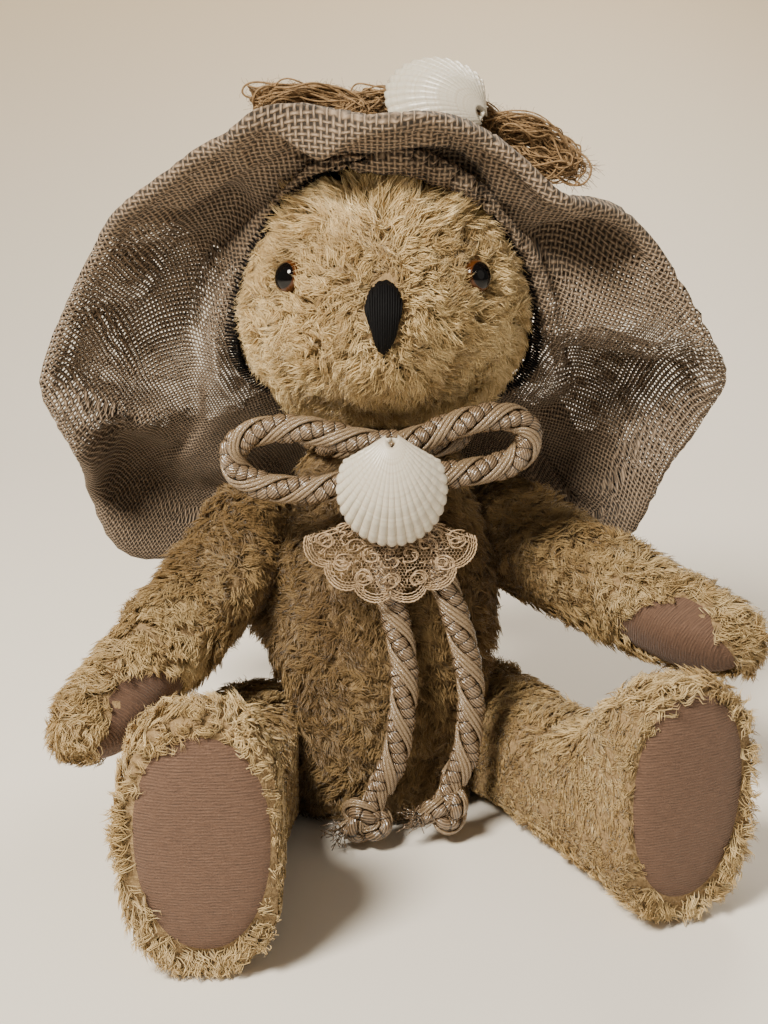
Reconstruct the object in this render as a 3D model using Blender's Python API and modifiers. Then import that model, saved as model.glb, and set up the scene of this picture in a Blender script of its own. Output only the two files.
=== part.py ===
"""A jointed teddy bear that sits in a linen sun hat and a cord bow, with its stuffing and its five disc joints.

Metres, +Z up. The seat is the plane z = 0 and the neck stands over the origin. The head faces -Y, and the
body and the legs are turned a little towards +X. Left and right are the bear's own, so its left is +X.
"""

import math

import bmesh
import bpy
import numpy as np
from mathutils import Matrix, Vector

MM = 0.001

# ---- cloth, stuffing and gaps, in millimetres like every shape below
SKIN = 1.2  # plush backing
GAP = 0.55  # from a joint's middle plane to the cloth on either side
STUFFING_INSET = 2.8  # stuffing surface, under the outside of the cloth

# ---- body
BODY_TURN = 12.0  # degrees that the body faces away from the head, towards +X
BODY_PROFILE = [  # (height, radius)
    (0, 25), (1.5, 32), (8, 38), (22, 41.5), (42, 43), (60, 41.2),
    (76, 38), (90, 34.4), (103, 30), (114, 25), (123, 19.5),
]
BODY_LEAN = Vector((-6, -12, 0))  # the seat is this far from under the neck, because the bear leans back
LEAN_CURVE = 1.3
NECK_Z = 129.5
NECK_FLAT_RADIUS = 15.5
BODY_DEPTH = 0.94  # front to back, as a share of the width

# ---- head
HEAD_CENTRE = Vector((0, 0, 168))
HEAD_HALF = Vector((43.5, 41.0, 40.5))
HEAD_PITCH = 6.0  # degrees that the face is tilted up
MUZZLE_OUT = 13.5
MUZZLE_WIDTH = 0.46  # radians
MUZZLE_DROP = -0.16  # the muzzle's axis, below the middle of the face
CHEEK_OUT = 4.4
EYE_RADIUS = 5.3
EYE_WAY = (0.65, -0.72, 0.19)  # from the middle of the head, for the bear's left eye
EYE_LIFT, EYE_DOME = 4.4, 3.6  # the button's middle over the cloth, and how far it domes
EYE_SHANK_RADIUS, EYE_SHANK_LONG = 1.1, 7.0
EAR_WAY, EAR_HALF = (0.62, 0.26, 0.74), (12.5, 9.5)  # pressed flat under the hat
NOSE_WAY, NOSE_HALF = (0, -1, -0.02), (5.8, 10.6)

# ---- limbs: how far along the limb, middle outwards, middle up, half width, half height
ARM_SECTIONS = [
    (-13, 10.0, 0, 6.0, 6.5), (-9, 12.0, 0, 12.0, 11.5), (-2, 13.5, 0, 14.5, 14.5), (12, 15.5, 0, 15.0, 15.2),
    (34, 20.0, 0, 14.4, 15.0), (56, 25.5, 0.4, 13.6, 14.2), (76, 30.0, 1.6, 12.8, 13.4),
    (92, 33.6, 3.4, 11.6, 12.2), (102, 35.8, 4.8, 8.8, 9.2), (108, 37.0, 5.8, 4.0, 4.2),
]
LEG_SECTIONS = [
    (-19, 13.5, 0, 7.5, 8.0), (-15, 15.0, 0, 14.0, 14.0), (-6, 16.4, 0, 17.2, 17.4), (14, 17.2, 0, 17.8, 18.2),
    (38, 18.0, 0, 17.4, 18.0), (58, 18.8, 0.8, 17.2, 18.6), (75, 19.4, 5.6, 18.0, 22.6),
    (89, 19.8, 13.8, 20.6, 31.0), (102, 20.2, 17.6, 22.2, 34.8), (112, 20.4, 18.2, 21.8, 34.4),
]
SECTION_POWER = 2.5
PRESSED_OUT, PRESSED_REACH = 9.0, 26.0  # how much fuller the side by the joint is, and how far along
LIMB_SIDES, LIMB_RINGS = 14, 10
BODY_SIDES, BODY_RINGS = 26, 13
HEAD_SEGMENTS, HEAD_RINGS = 24, 14

SHOULDER_RADIUS, SHOULDER_Z, SHOULDER_AHEAD = 30.2, 85.0, 0.0
SHOULDER_BACK, SHOULDER_TILT = 16.0, 20.0  # degrees that the joint's axis leans back and up
ARM_DROP = {"left": 27.0, "right": 38.0}  # degrees below straight forward
HIP_RADIUS, HIP_Z, HIP_AHEAD = 26.5, 20.4, 15.0
HIP_BACK = 12.0
SHOULDER_SEAT, HIP_SEAT = (15.5, 0.10), (22.0, 0.12)  # how far round the joint the body is flat, and its slope beyond
SEAT_SOFTNESS = 4.0  # the slope doubles this far out
DISC_RADIUS = {"neck": 12.0, "shoulder": 8.6, "hip": 12.5}

SOLE_HALF_WIDTH, SOLE_HALF_HEIGHT = 17.6, 30.2
PAW_PAD_MIDDLE, PAW_PAD_HALF_LENGTH, PAW_PAD_HALF_WIDTH, PAW_PAD_UP = 87.0, 17.8, 10.0, 3.0
PAW_PAD_SPAN = (-8.0, 31.0)  # the pad is the inner face of the paw, out to here
PAD_SEAM = 0.35  # gap between a pad and the plush round it

# ---- disc joint stack, measured outwards from the joint's middle plane
BOLT_RADIUS, BOLT_HOLE_RADIUS, SKIN_HOLE_RADIUS = 1.8, 2.2, 2.5
LIMB_DISC, WASHER, BOLT_HEAD = (1.9, 3.9), (4.2, 5.0), (5.3, 7.6)
TORSO_DISC, LOCK_NUT, BOLT_END = (-4.1, -2.1), (-8.4, -4.5), -10.2
WASHER_RADIUS, BOLT_HEAD_RADIUS, NUT_RADIUS, NUT_HOLE_RADIUS = 5.5, 4.0, 4.2, 2.4
POCKET = 0.7  # room round the hardware in the stuffing

# ---- hat: stations clockwise from the top as the bear's face is looked at
HAT_OPENING = [
    (2, -22, 213), (26, -17, 204), (42, -9, 184), (49, 1, 159), (46, 14, 142), (28, 29, 132),
    (0, 35, 130), (-28, 29, 132), (-46, 14, 142), (-49, 1, 159), (-42, -9, 184), (-26, -17, 204),
]
HAT_EDGE = [
    (2, -38, 227), (36, -33, 220), (73, -17, 193), (110, 0, 150), (101, 12, 108), (77, 27, 80),
    (2, 74, 80), (-84, 25, 78), (-102, 10, 104), (-109, -1, 147), (-73, -14, 202), (-36, -32, 230),
]
HAT_DISH = 7.0  # how far the brim's middle lies behind its two edges
HAT_BRIM_THICK, HAT_CROWN_THICK = 2.2, 1.2
HAT_CROWN_DEEP, HAT_CROWN_FULL = 49.0, 0.55
HAT_SEAM_RADIUS, HAT_SEAM_CLEAR = 1.0, 2.2
HAT_STEPS, HAT_ROWS = 36, 4

JUTE_LOBES = [  # middle and half size of each loop of twine
    ((-24, 12, 233), (22, 5.5, 5.2)), ((4, 14, 233.5), (18, 5, 5)), ((30, 12, 228), (15, 5, 6.5)),
    ((51, 11, 219), (21, 6, 8.4)),
]

# ---- neck cord, its bow and its tails
CORD_RADIUS = 4.8
COLLAR_RADIUS, COLLAR_Z = 25.6, 124.3
BOW_ROUTE = [
    (-9, -45, 118), (-22, -44, 115), (-38, -41, 115.5), (-46.5, -38.5, 120), (-47, -38, 127), (-40, -39.5, 132.5),
    (-26, -42, 134), (-10, -44.5, 131), (0, -46, 130), (10, -44.5, 131), (24, -42, 136), (36, -39, 137.5),
    (43.5, -37, 135), (45.5, -36.5, 128.5), (40, -38, 122.5), (26, -41.5, 120), (11, -44.5, 119),
]
TAIL_ROUTES = {
    "right": [(0, -43.5, 106), (0.3, -45.5, 96), (1.5, -48.5, 83), (5, -52, 69), (6.5, -55, 56), (5.5, -56.5, 42),
              (3.5, -57, 30), (-1, -57.5, 20)],
    "left": [(12, -43, 107), (14.5, -45, 98), (18.5, -48.5, 87), (24, -51, 71), (27.5, -53, 54),
             (27.5, -54, 40), (26, -54, 29), (22.5, -54.5, 21.5)],
}
TAIL_KNOTS = {"right": (-6, -60.5, 9.6), "left": (20, -56.5, 11.6)}
TAIL_KNOT_HALF = {"right": (9.4, 7.6, 7.8), "left": (9.2, 7.4, 7.6)}
BOW_KNOT, BOW_KNOT_HALF = (4, -44, 117.5), (4.2, 4.6, 6.2)

# ---- shells and lace
NECK_SHELL_TOP, NECK_SHELL_LONG = (2.4, -54.5, 135), 33.5
HAT_SHELL_TOP, HAT_SHELL_LONG = (32, -3, 229), 33.0
HAT_SHELL_TURN, HAT_SHELL_LEAN = 118.0, 60.0  # degrees from hanging down, and that it leans back
SHELL_FAN, SHELL_ROUND, SHELL_DOME, SHELL_THICK = 62.0, 0.9, 8.5, 1.5
LACE_TOP, LACE_INSIDE, LACE_LONG, LACE_TILT = (2, -51.5, 111), 3.0, 29.0, 10.0
LACE_FAN, LACE_THICK = 72.0, 0.9

COLOURS = {
    "fur": (0.42, 0.29, 0.15), "pad": (0.25, 0.13, 0.08), "stuffing": (0.85, 0.83, 0.78), "board": (0.30, 0.19, 0.10),
    "steel": (0.6, 0.6, 0.6), "eye": (0.02, 0.012, 0.01), "thread": (0.01, 0.01, 0.012), "linen": (0.27, 0.21, 0.16),
    "jute": (0.30, 0.19, 0.09), "shell": (0.85, 0.83, 0.78), "cord": (0.48, 0.36, 0.24), "lace": (0.50, 0.35, 0.27),
}


# ---- scene, collections and materials
def clear_scene():
    for thing in list(bpy.data.objects):
        bpy.data.objects.remove(thing, do_unlink=True)


def collection(name):
    made = bpy.data.collections.new(name)
    bpy.context.scene.collection.children.link(made)
    return made


def material(name):
    made = bpy.data.materials.new(name)
    made.use_nodes = True
    shader = made.node_tree.nodes["Principled BSDF"]
    shader.inputs["Base Color"].default_value = (*COLOURS[name], 1)
    shader.inputs["Roughness"].default_value = {"steel": 0.35, "eye": 0.1, "shell": 0.3}.get(name, 0.85)
    shader.inputs["Metallic"].default_value = 1.0 if name == "steel" else 0.0
    return made


clear_scene()
PARTS = collection("teddy_bear")
CUTTERS = collection("cutters")
MATERIALS = {name: material(name) for name in COLOURS}


def add(name, mesh, kind, parent=None, frame=None):
    """Puts a mesh, drawn in millimetres, into the model. frame is its place in the parent, in metres."""
    thing = bpy.data.objects.new(name, mesh)
    PARTS.objects.link(thing)
    mesh.transform(Matrix.Scale(MM, 4))
    mesh.materials.append(MATERIALS[kind])
    mesh.shade_smooth()
    thing.parent = parent
    if frame is not None:
        thing.matrix_local = frame
    return thing


def empty(name, frame):
    thing = bpy.data.objects.new(name, None)
    PARTS.objects.link(thing)
    thing.matrix_world = frame
    return thing


def copy_of(source, name):
    thing = source.copy()
    thing.data = source.data.copy()
    thing.name = name
    PARTS.objects.link(thing)
    return thing


# ---- meshes
def mesh_of(name, points, faces):
    work = bmesh.new()
    corners = [work.verts.new(point) for point in points]
    for face in faces:
        work.faces.new([corners[index] for index in face])
    bmesh.ops.recalc_face_normals(work, faces=work.faces)
    mesh = bpy.data.meshes.new(name)
    work.to_mesh(mesh)
    work.free()
    return mesh


def tube_of_rings(name, rings, closed_ends=True):
    """A skin over a row of rings with the same number of points; closed ends come to a middle point."""
    count = len(rings[0])
    points = [tuple(point) for ring in rings for point in ring]
    faces = []
    for row in range(len(rings) - 1):
        for step in range(count):
            after = (step + 1) % count
            low, high = row * count, (row + 1) * count
            faces.append((low + step, low + after, high + after, high + step))
    if closed_ends:
        for row in (0, len(rings) - 1):
            points.append(tuple(np.mean(rings[row], axis=0)))
            pole = len(points) - 1
            faces += [(row * count + step, row * count + (step + 1) % count, pole) for step in range(count)]
    return mesh_of(name, points, faces)


def grid_of(name, rows, wrap):
    """An open sheet over rows of points; wrap joins each row's ends."""
    count = len(rows[0])
    points = [tuple(point) for row in rows for point in row]
    steps = count if wrap else count - 1
    faces = [
        (r * count + s, r * count + (s + 1) % count, (r + 1) * count + (s + 1) % count, (r + 1) * count + s)
        for r in range(len(rows) - 1) for s in range(steps)
    ]
    return mesh_of(name, points, faces)


def add_turned(name, profile, steps, kind, parent, frame, ring=False):
    """A Screw about Z. The profile runs from the top down its outer side; a ring's profile closes on itself.
    With no kind it is a cutter."""
    mesh = bpy.data.meshes.new(name)
    count = len(profile)
    edges = [(index, index + 1) for index in range(count - 1)] + ([(count - 1, 0)] if ring else [])
    mesh.from_pydata([(radius, 0, height) for radius, height in profile], edges, [])
    thing = add(name, mesh, kind, parent, frame) if kind else add_cutter(name, mesh, parent, frame)
    screw = thing.modifiers.new("turn", "SCREW")
    screw.axis = "Z"
    screw.steps = screw.render_steps = steps
    screw.use_merge_vertices = True
    screw.merge_threshold = 1e-6
    return thing


def add_cutter(name, mesh, parent, frame):
    thing = bpy.data.objects.new(name, mesh)
    CUTTERS.objects.link(thing)
    mesh.transform(Matrix.Scale(MM, 4))
    thing.parent = parent
    thing.matrix_local = frame
    thing.hide_render = True
    thing.display_type = "WIRE"
    return thing


def boolean(thing, other, operation="DIFFERENCE"):
    modifier = thing.modifiers.new(other.name[:40], "BOOLEAN")
    modifier.operation = operation
    modifier.object = other
    modifier.solver = "EXACT"


def thicken(thing, thick, offset):
    modifier = thing.modifiers.new("cloth", "SOLIDIFY")
    modifier.thickness = thick * MM
    modifier.offset = offset
    modifier.use_even_offset = False


def smooth_loop(stations, steps, closed=True):
    """Points evenly along a Catmull-Rom curve through the stations."""
    base = np.array(stations, float)
    count = len(base)
    spans = count if closed else count - 1
    out = []
    for step in range(steps):
        at = step * spans / (steps if closed else steps - 1)
        span = min(int(at), spans - 1)
        t = at - span
        if closed:
            p0, p1, p2, p3 = (base[(span + k) % count] for k in (-1, 0, 1, 2))
        else:
            p0, p1, p2, p3 = (base[min(max(span + k, 0), count - 1)] for k in (-1, 0, 1, 2))
        out.append(0.5 * (2 * p1 + (p2 - p0) * t + (2 * p0 - 5 * p1 + 4 * p2 - p3) * t**2
                          + (3 * p1 - p0 - 3 * p2 + p3) * t**3))
    return np.array(out)


# ---- joint frames: X along the limb, Y to the bear's left, Z up; the stack's Z points out of the body
def turn_z(degrees, vector):
    return Matrix.Rotation(math.radians(degrees), 3, "Z") @ Vector(vector)


def side_of(side):
    return 1 if side == "left" else -1


def joint_axis(side, back, tilt):
    """The way out of the body along the joint's axis."""
    out = math.cos(math.radians(tilt))
    back_way = math.radians(back)
    local = (side_of(side) * out * math.cos(back_way), out * math.sin(back_way), math.sin(math.radians(tilt)))
    return turn_z(BODY_TURN, local)


def lean_at(height):
    return BODY_LEAN * max(0.0, 1 - height / NECK_Z) ** LEAN_CURVE


def joint_place(side, radius, height, back, ahead):
    back_way = math.radians(back)
    local = (side_of(side) * radius * math.cos(back_way), radius * math.sin(back_way) - ahead, 0)
    return turn_z(BODY_TURN, local) + lean_at(height) + Vector((0, 0, height))


def frame_of(x_way, z_way, place):
    x_way = Vector(x_way).normalized()
    y_way = Vector(z_way).cross(x_way).normalized()
    matrix = Matrix((x_way, y_way, x_way.cross(y_way))).transposed().to_4x4()
    matrix.translation = Vector(place) * MM
    return matrix


def limb_frame(side, axis, place, drop):
    """X runs along the limb, drop degrees below straight forward in the joint's plane."""
    forward = turn_z(BODY_TURN, (0, -1, 0))
    forward = (forward - axis * forward.dot(axis)).normalized()
    across = axis * side_of(side)
    along = Matrix.Rotation(math.radians(drop), 3, across) @ forward
    if along.z > (Matrix.Rotation(math.radians(-drop), 3, across) @ forward).z:
        along = Matrix.Rotation(math.radians(-drop), 3, across) @ forward
    return frame_of(along, along.cross(across), place)


# ---- body
JOINTS = {
    "neck": (Vector((0, 0, NECK_Z)), Vector((0, 0, 1)), (NECK_FLAT_RADIUS, 0)),
}
for each in ("left", "right"):
    JOINTS[each + "_shoulder"] = (
        joint_place(each, SHOULDER_RADIUS, SHOULDER_Z, SHOULDER_BACK, SHOULDER_AHEAD),
        joint_axis(each, SHOULDER_BACK, SHOULDER_TILT), SHOULDER_SEAT)
    JOINTS[each + "_hip"] = (
        joint_place(each, HIP_RADIUS, HIP_Z, HIP_BACK, HIP_AHEAD), joint_axis(each, HIP_BACK, 0), HIP_SEAT)


def body_rings(inset):
    profile = [*BODY_PROFILE, (NECK_Z - GAP, NECK_FLAT_RADIUS)]
    stations = smooth_loop([(r, 0, z) for z, r in profile], BODY_RINGS, closed=False)
    stations[0] = (profile[0][1], 0, 0)
    stations[-1] = (NECK_FLAT_RADIUS, 0, NECK_Z - GAP)
    rings = []
    for radius, _, height in stations:
        radius -= inset
        height = min(max(height, inset), NECK_Z - GAP - inset)
        ring = []
        for step in range(BODY_SIDES):
            angle = 2 * math.pi * step / BODY_SIDES
            point = turn_z(BODY_TURN, (radius * math.cos(angle), BODY_DEPTH * radius * math.sin(angle), height))
            point += lean_at(height)
            for name, (place, axis, (reach, slope)) in JOINTS.items():
                away = point - place
                beside = (away - axis * away.dot(axis)).length
                beyond = max(0.0, beside - reach)
                over = away.dot(axis) + GAP + inset - slope * beyond * (1 + beyond / SEAT_SOFTNESS)
                if name != "neck" and over > 0:
                    point = point - axis * over
            ring.append(tuple(point))
        rings.append(ring)
    return rings


# ---- head
FACE = Matrix.Rotation(math.radians(-HEAD_PITCH), 3, "X")


def head_reach(way):
    """How far the cloth is from the middle of the head, in the head's own unpitched frame."""
    round_reach = 1 / math.sqrt(sum((way[k] / HEAD_HALF[k]) ** 2 for k in range(3)))
    muzzle = Vector((0, -1, MUZZLE_DROP)).normalized()
    off = way.angle(muzzle)
    cheeks = max(0.0, -way.z) * max(0.0, abs(way.x) - 0.2)
    return round_reach + MUZZLE_OUT * math.exp(-((off / MUZZLE_WIDTH) ** 2)) + CHEEK_OUT * cheeks


def head_point(way, lift=0.0):
    way = Vector(way).normalized()
    point = FACE @ (way * (head_reach(way) + lift)) + HEAD_CENTRE
    return point


def head_mesh(name, inset):
    work = bmesh.new()
    bmesh.ops.create_uvsphere(work, u_segments=HEAD_SEGMENTS, v_segments=HEAD_RINGS, radius=1)
    floor = NECK_Z + GAP + inset
    for vertex in work.verts:
        point = head_point(vertex.co, -inset)
        if point.z < floor:
            point.z = floor
        vertex.co = point
    mesh = bpy.data.meshes.new(name)
    work.to_mesh(mesh)
    work.free()
    return mesh


def patch_on_head(name, middle, half_wide, half_tall, lift, thick, point_low=0.0, sides=14, rounds=2):
    """A domed pad that follows the head, with its rim lifted clear of the cloth."""
    middle = Vector(middle).normalized()
    across = Vector((0, 0, 1)).cross(middle).normalized() * -1
    up = middle.cross(across).normalized()
    if up.z < 0:
        up = -up
    reach = head_reach(middle)

    def place(share, angle, height):
        narrow = 1 - point_low * max(0.0, -math.sin(angle)) ** 1.5
        a = half_wide * share * math.cos(angle) * narrow / reach
        b = half_tall * share * math.sin(angle) / reach
        return head_point(middle + across * a + up * b, height)

    angles = [2 * math.pi * step / sides for step in range(sides)]
    shares = [(k + 1) / rounds for k in range(rounds)]
    low = [[place(share, angle, lift) for angle in angles] for share in shares]
    high = [[place(share, angle, lift + thick * math.sqrt(1.02 - share**2)) for angle in angles] for share in shares]
    return tube_of_rings(name, [*low, *reversed(high)])


# ---- limbs
def limb_rings(sections, side, inset):
    """Rings along a limb; its inner side is pressed flat against the body's joint."""
    rings = []
    first, last = sections[0][0], sections[-1][0]
    middle, half_long = (first + last) / 2, (last - first) / 2
    stations = smooth_loop(sections, LIMB_RINGS, closed=False)
    for along, out, up, half_out, half_up in stations:
        fuller = PRESSED_OUT * math.exp(-((along / PRESSED_REACH) ** 2))
        if along < middle:
            along = middle + (along - middle) * (1 - inset / half_long)
        along = min(along, last - inset)
        ring = []
        for step in range(LIMB_SIDES):
            angle = 2 * math.pi * step / LIMB_SIDES
            cosine, sine = math.cos(angle), math.sin(angle)
            wide = half_out - inset + (fuller if cosine < 0 else 0)
            outwards = out + wide * math.copysign(abs(cosine) ** (2 / SECTION_POWER), cosine)
            height = up + (half_up - inset) * math.copysign(abs(sine) ** (2 / SECTION_POWER), sine)
            ring.append((along, side_of(side) * max(outwards, GAP + inset), height))
        rings.append(ring)
    return rings


def egg_outline(half_wide, half_tall, sides=20):
    """The sole's outline, narrower at the toes, as (across, up)."""
    out = []
    for step in range(sides):
        angle = 2 * math.pi * step / sides
        across = half_wide * math.cos(angle) * (1 - 0.12 * math.sin(angle))
        out.append((across, half_tall * math.sin(angle)))
    return out


# ---- disc joints
def disc_joint(joint, kind, stack_frame, limb_parent, torso_parent):
    radius = DISC_RADIUS[kind]

    def ring(name, inner, outer, span, material_name, parent, sides=14):
        low, high = span
        profile = [(inner, high), (outer, high), (outer, low), (inner, low)]
        frame = parent.matrix_world.inverted() @ stack_frame
        return add_turned(name, profile, sides, material_name, parent, frame, ring=True)

    ring(joint + "_disc_outer", BOLT_HOLE_RADIUS, radius, LIMB_DISC, "board", limb_parent)
    ring(joint + "_washer", BOLT_HOLE_RADIUS, WASHER_RADIUS, WASHER, "steel", limb_parent, 10)
    ring(joint + "_disc_inner", BOLT_HOLE_RADIUS, radius, TORSO_DISC, "board", torso_parent)
    ring(joint + "_lock_nut", NUT_HOLE_RADIUS, NUT_RADIUS, LOCK_NUT, "steel", torso_parent, 6)
    low, high = BOLT_HEAD
    bolt = [(0, high), (BOLT_HEAD_RADIUS, high), (BOLT_HEAD_RADIUS, low), (BOLT_RADIUS, low),
            (BOLT_RADIUS, BOLT_END), (0, BOLT_END)]
    add_turned(joint + "_bolt", bolt, 10, "steel", torso_parent, torso_parent.matrix_world.inverted() @ stack_frame)


def joint_cutters(joint, kind, stack_frame):
    """The hole through both skins, and the pockets in the stuffing on either side."""
    radius = DISC_RADIUS[kind] + POCKET
    small = WASHER_RADIUS + POCKET
    hole = [(0, 3), (SKIN_HOLE_RADIUS, 3), (SKIN_HOLE_RADIUS, -3), (0, -3)]
    limb_side = [(0, BOLT_HEAD[1] + POCKET), (small, BOLT_HEAD[1] + POCKET), (small, LIMB_DISC[1] + POCKET / 2),
                 (radius, LIMB_DISC[1] + POCKET / 2), (radius, -3), (0, -3)]
    body_side = [(0, 3), (radius, 3), (radius, TORSO_DISC[0] - POCKET / 2), (small, TORSO_DISC[0] - POCKET / 2),
                 (small, BOLT_END - POCKET), (0, BOLT_END - POCKET)]
    made = {}
    for what, profile in (("hole", hole), ("limb", limb_side), ("body", body_side)):
        made[what] = add_turned(f"cut_{joint}_{what}", profile, 12, None, None, stack_frame)
    return made


def stack_frame_of(joint):
    place, axis, _ = JOINTS[joint]
    side_way = Vector((0, 0, 1)) if abs(axis.z) < 0.9 else Vector((0, 1, 0))
    x_way = (side_way - axis * side_way.dot(axis)).normalized()
    y_way = axis.cross(x_way)
    matrix = Matrix((x_way, y_way, axis)).transposed().to_4x4()
    matrix.translation = place * MM
    return matrix


# ---- shells, lace and cord
def shell_mesh(name, long, rows=6, columns=11):
    """A scallop that hangs from its hinge at the origin, domed towards -Y."""
    half = math.radians(SHELL_FAN)
    sheet = []
    for row in range(rows):
        share = 0.12 + 0.88 * row / (rows - 1)
        line = []
        for column in range(columns):
            angle = half * (2 * column / (columns - 1) - 1)
            reach = long * share * math.cos(angle) ** SHELL_ROUND
            across = 1 - (angle / half) ** 2
            dome = SHELL_DOME * math.sin(math.pi * (0.12 + 0.80 * share)) * (0.25 + 0.75 * across)
            line.append((reach * math.sin(angle), -dome, -reach * math.cos(angle)))
        sheet.append(line)
    return grid_of(name, sheet, wrap=False)


def lace_mesh(name, rows=3, columns=13):
    half = math.radians(LACE_FAN)
    sheet = []
    for row in range(rows):
        reach = LACE_INSIDE + (LACE_LONG - LACE_INSIDE) * row / (rows - 1)
        line = []
        for column in range(columns):
            angle = half * (2 * column / (columns - 1) - 1)
            line.append((reach * math.sin(angle), 0, -reach * math.cos(angle)))
        sheet.append(line)
    return grid_of(name, sheet, wrap=False)


def cord_tube(name, route, points):
    """A plain tube along a smooth curve through the route's points."""
    curve = bpy.data.curves.new(name, "CURVE")
    curve.dimensions = "3D"
    spline = curve.splines.new("POLY")
    line = smooth_loop(route, points, closed=False)
    spline.points.add(len(line) - 1)
    for target, point in zip(spline.points, line):
        target.co = (*(point * MM), 1)
    curve.bevel_depth = CORD_RADIUS * MM
    curve.bevel_resolution = 2
    curve.use_fill_caps = True
    thing = bpy.data.objects.new(name, curve)
    PARTS.objects.link(thing)
    curve.materials.append(MATERIALS["cord"])
    return thing


def ball(name, middle, half, kind, segments=10, rings=6):
    work = bmesh.new()
    bmesh.ops.create_uvsphere(work, u_segments=segments, v_segments=rings, radius=1)
    mesh = bpy.data.meshes.new(name)
    work.to_mesh(mesh)
    work.free()
    mesh.transform(Matrix.Translation(Vector(middle)) @ Matrix.Diagonal((*half, 1)))
    return add(name, mesh, kind)


def make_torso():
    """Skin and stuffing of the body, with the five joints' holes and pockets."""
    skin = add("body_skin", tube_of_rings("body_skin", body_rings(0)), "fur")
    thicken(skin, SKIN, -1)
    stuffing = add("body_stuffing", tube_of_rings("body_stuffing", body_rings(STUFFING_INSET)), "stuffing")
    return skin, stuffing


def make_head(cutters):
    anchor = empty("head_joint", Matrix.Translation((0, 0, NECK_Z * MM)))
    back = anchor.matrix_world.inverted()
    skin = add("head_skin", head_mesh("head_skin", 0), "fur", anchor, back)
    thicken(skin, SKIN, -1)
    stuffing = add("head_stuffing", head_mesh("head_stuffing", STUFFING_INSET), "stuffing", anchor, back)
    boolean(skin, cutters["hole"])
    boolean(stuffing, cutters["limb"])
    for side in ("left", "right"):
        way = Vector((side_of(side) * EYE_WAY[0], EYE_WAY[1], EYE_WAY[2])).normalized()
        seat = head_point(way)
        out = (FACE @ way).normalized()
        x_way = Vector((0, 0, 1)).cross(out).normalized()
        frame = Matrix((x_way, out.cross(x_way), out)).transposed().to_4x4()
        frame.translation = seat * MM
        profile = [
            (EYE_RADIUS * math.sin(a), EYE_LIFT + EYE_DOME * math.cos(a)) for a in np.linspace(0, math.radians(160), 6)
        ]
        profile[0] = (0, profile[0][1])
        profile += [(EYE_SHANK_RADIUS, profile[-1][1]), (EYE_SHANK_RADIUS, -EYE_SHANK_LONG), (0, -EYE_SHANK_LONG)]
        add_turned(side + "_eye", profile, 12, "eye", anchor, back @ frame)
        for what, target, radius, top, low in (
            ("eye_hole", skin, EYE_SHANK_RADIUS + 0.5, 3, -3),
            ("eye_pocket", stuffing, EYE_SHANK_RADIUS + 1.9, 1, -EYE_SHANK_LONG - 1),
        ):
            cut = [(0, top), (radius, top), (radius, low), (0, low)]
            boolean(target, add_turned(f"cut_{side}_{what}", cut, 12, None, None, frame))
        ear = patch_on_head(side + "_ear", (side_of(side) * EAR_WAY[0], *EAR_WAY[1:]), *EAR_HALF, lift=0.6, thick=4.6)
        add(side + "_ear", ear, "fur", anchor, back)
    nose = patch_on_head("nose", NOSE_WAY, *NOSE_HALF, lift=0.5, thick=2.6, point_low=0.55)
    add("nose", nose, "thread", anchor, back)
    return anchor


def make_arm(side, cutters):
    place, axis, _ = JOINTS[side + "_shoulder"]
    anchor = empty(side + "_arm_joint", limb_frame(side, axis, place, ARM_DROP[side]))
    skin = add(side + "_arm_skin", tube_of_rings("arm", limb_rings(ARM_SECTIONS, side, 0)), "fur", anchor)
    thicken(skin, SKIN, -1)
    stuffing = tube_of_rings("arm_stuffing", limb_rings(ARM_SECTIONS, side, STUFFING_INSET))
    stuffing = add(side + "_arm_stuffing", stuffing, "stuffing", anchor)
    boolean(stuffing, cutters["limb"])
    pad = copy_of(skin, side + "_paw_pad")
    pad.data.materials.clear()
    pad.data.materials.append(MATERIALS["pad"])
    for what, target, grow, operation in (("pad_in", pad, 0.0, "INTERSECT"), ("pad_out", skin, PAD_SEAM, "DIFFERENCE")):
        rings = []
        for out in PAW_PAD_SPAN:
            rings.append([
                (PAW_PAD_MIDDLE + (PAW_PAD_HALF_LENGTH + grow) * math.cos(a), side_of(side) * out,
                 PAW_PAD_UP + (PAW_PAD_HALF_WIDTH + grow) * math.sin(a))
                for a in np.linspace(0, 2 * math.pi, 17)[:-1]
            ])
        cutter = add_cutter(f"cut_{side}_{what}", tube_of_rings(what, rings), anchor, Matrix())
        boolean(target, cutter, operation)
    boolean(skin, cutters["hole"])
    return anchor


def make_leg(side, cutters):
    place, axis, _ = JOINTS[side + "_hip"]
    anchor = empty(side + "_leg_joint", limb_frame(side, axis, place, 0))
    skin = add(side + "_leg_skin", tube_of_rings("leg", limb_rings(LEG_SECTIONS, side, 0)), "fur", anchor)
    thicken(skin, SKIN, -1)
    stuffing = tube_of_rings("leg_stuffing", limb_rings(LEG_SECTIONS, side, STUFFING_INSET))
    stuffing = add(side + "_leg_stuffing", stuffing, "stuffing", anchor)
    boolean(stuffing, cutters["limb"])
    end, out, up = LEG_SECTIONS[-1][:3]

    def plate(grow, low, high):
        outline = egg_outline(SOLE_HALF_WIDTH + grow, SOLE_HALF_HEIGHT + grow)
        return [[(x, side_of(side) * (out + a), up + b) for a, b in outline] for x in (low, high)]

    add(side + "_foot_pad", tube_of_rings("foot_pad", plate(0, end - SKIN, end)), "pad", anchor)
    cutter = add_cutter(f"cut_{side}_sole", tube_of_rings("sole", plate(PAD_SEAM, end - 3, end + 2)), anchor, Matrix())
    boolean(skin, cutter)
    boolean(skin, cutters["hole"])
    return anchor


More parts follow.
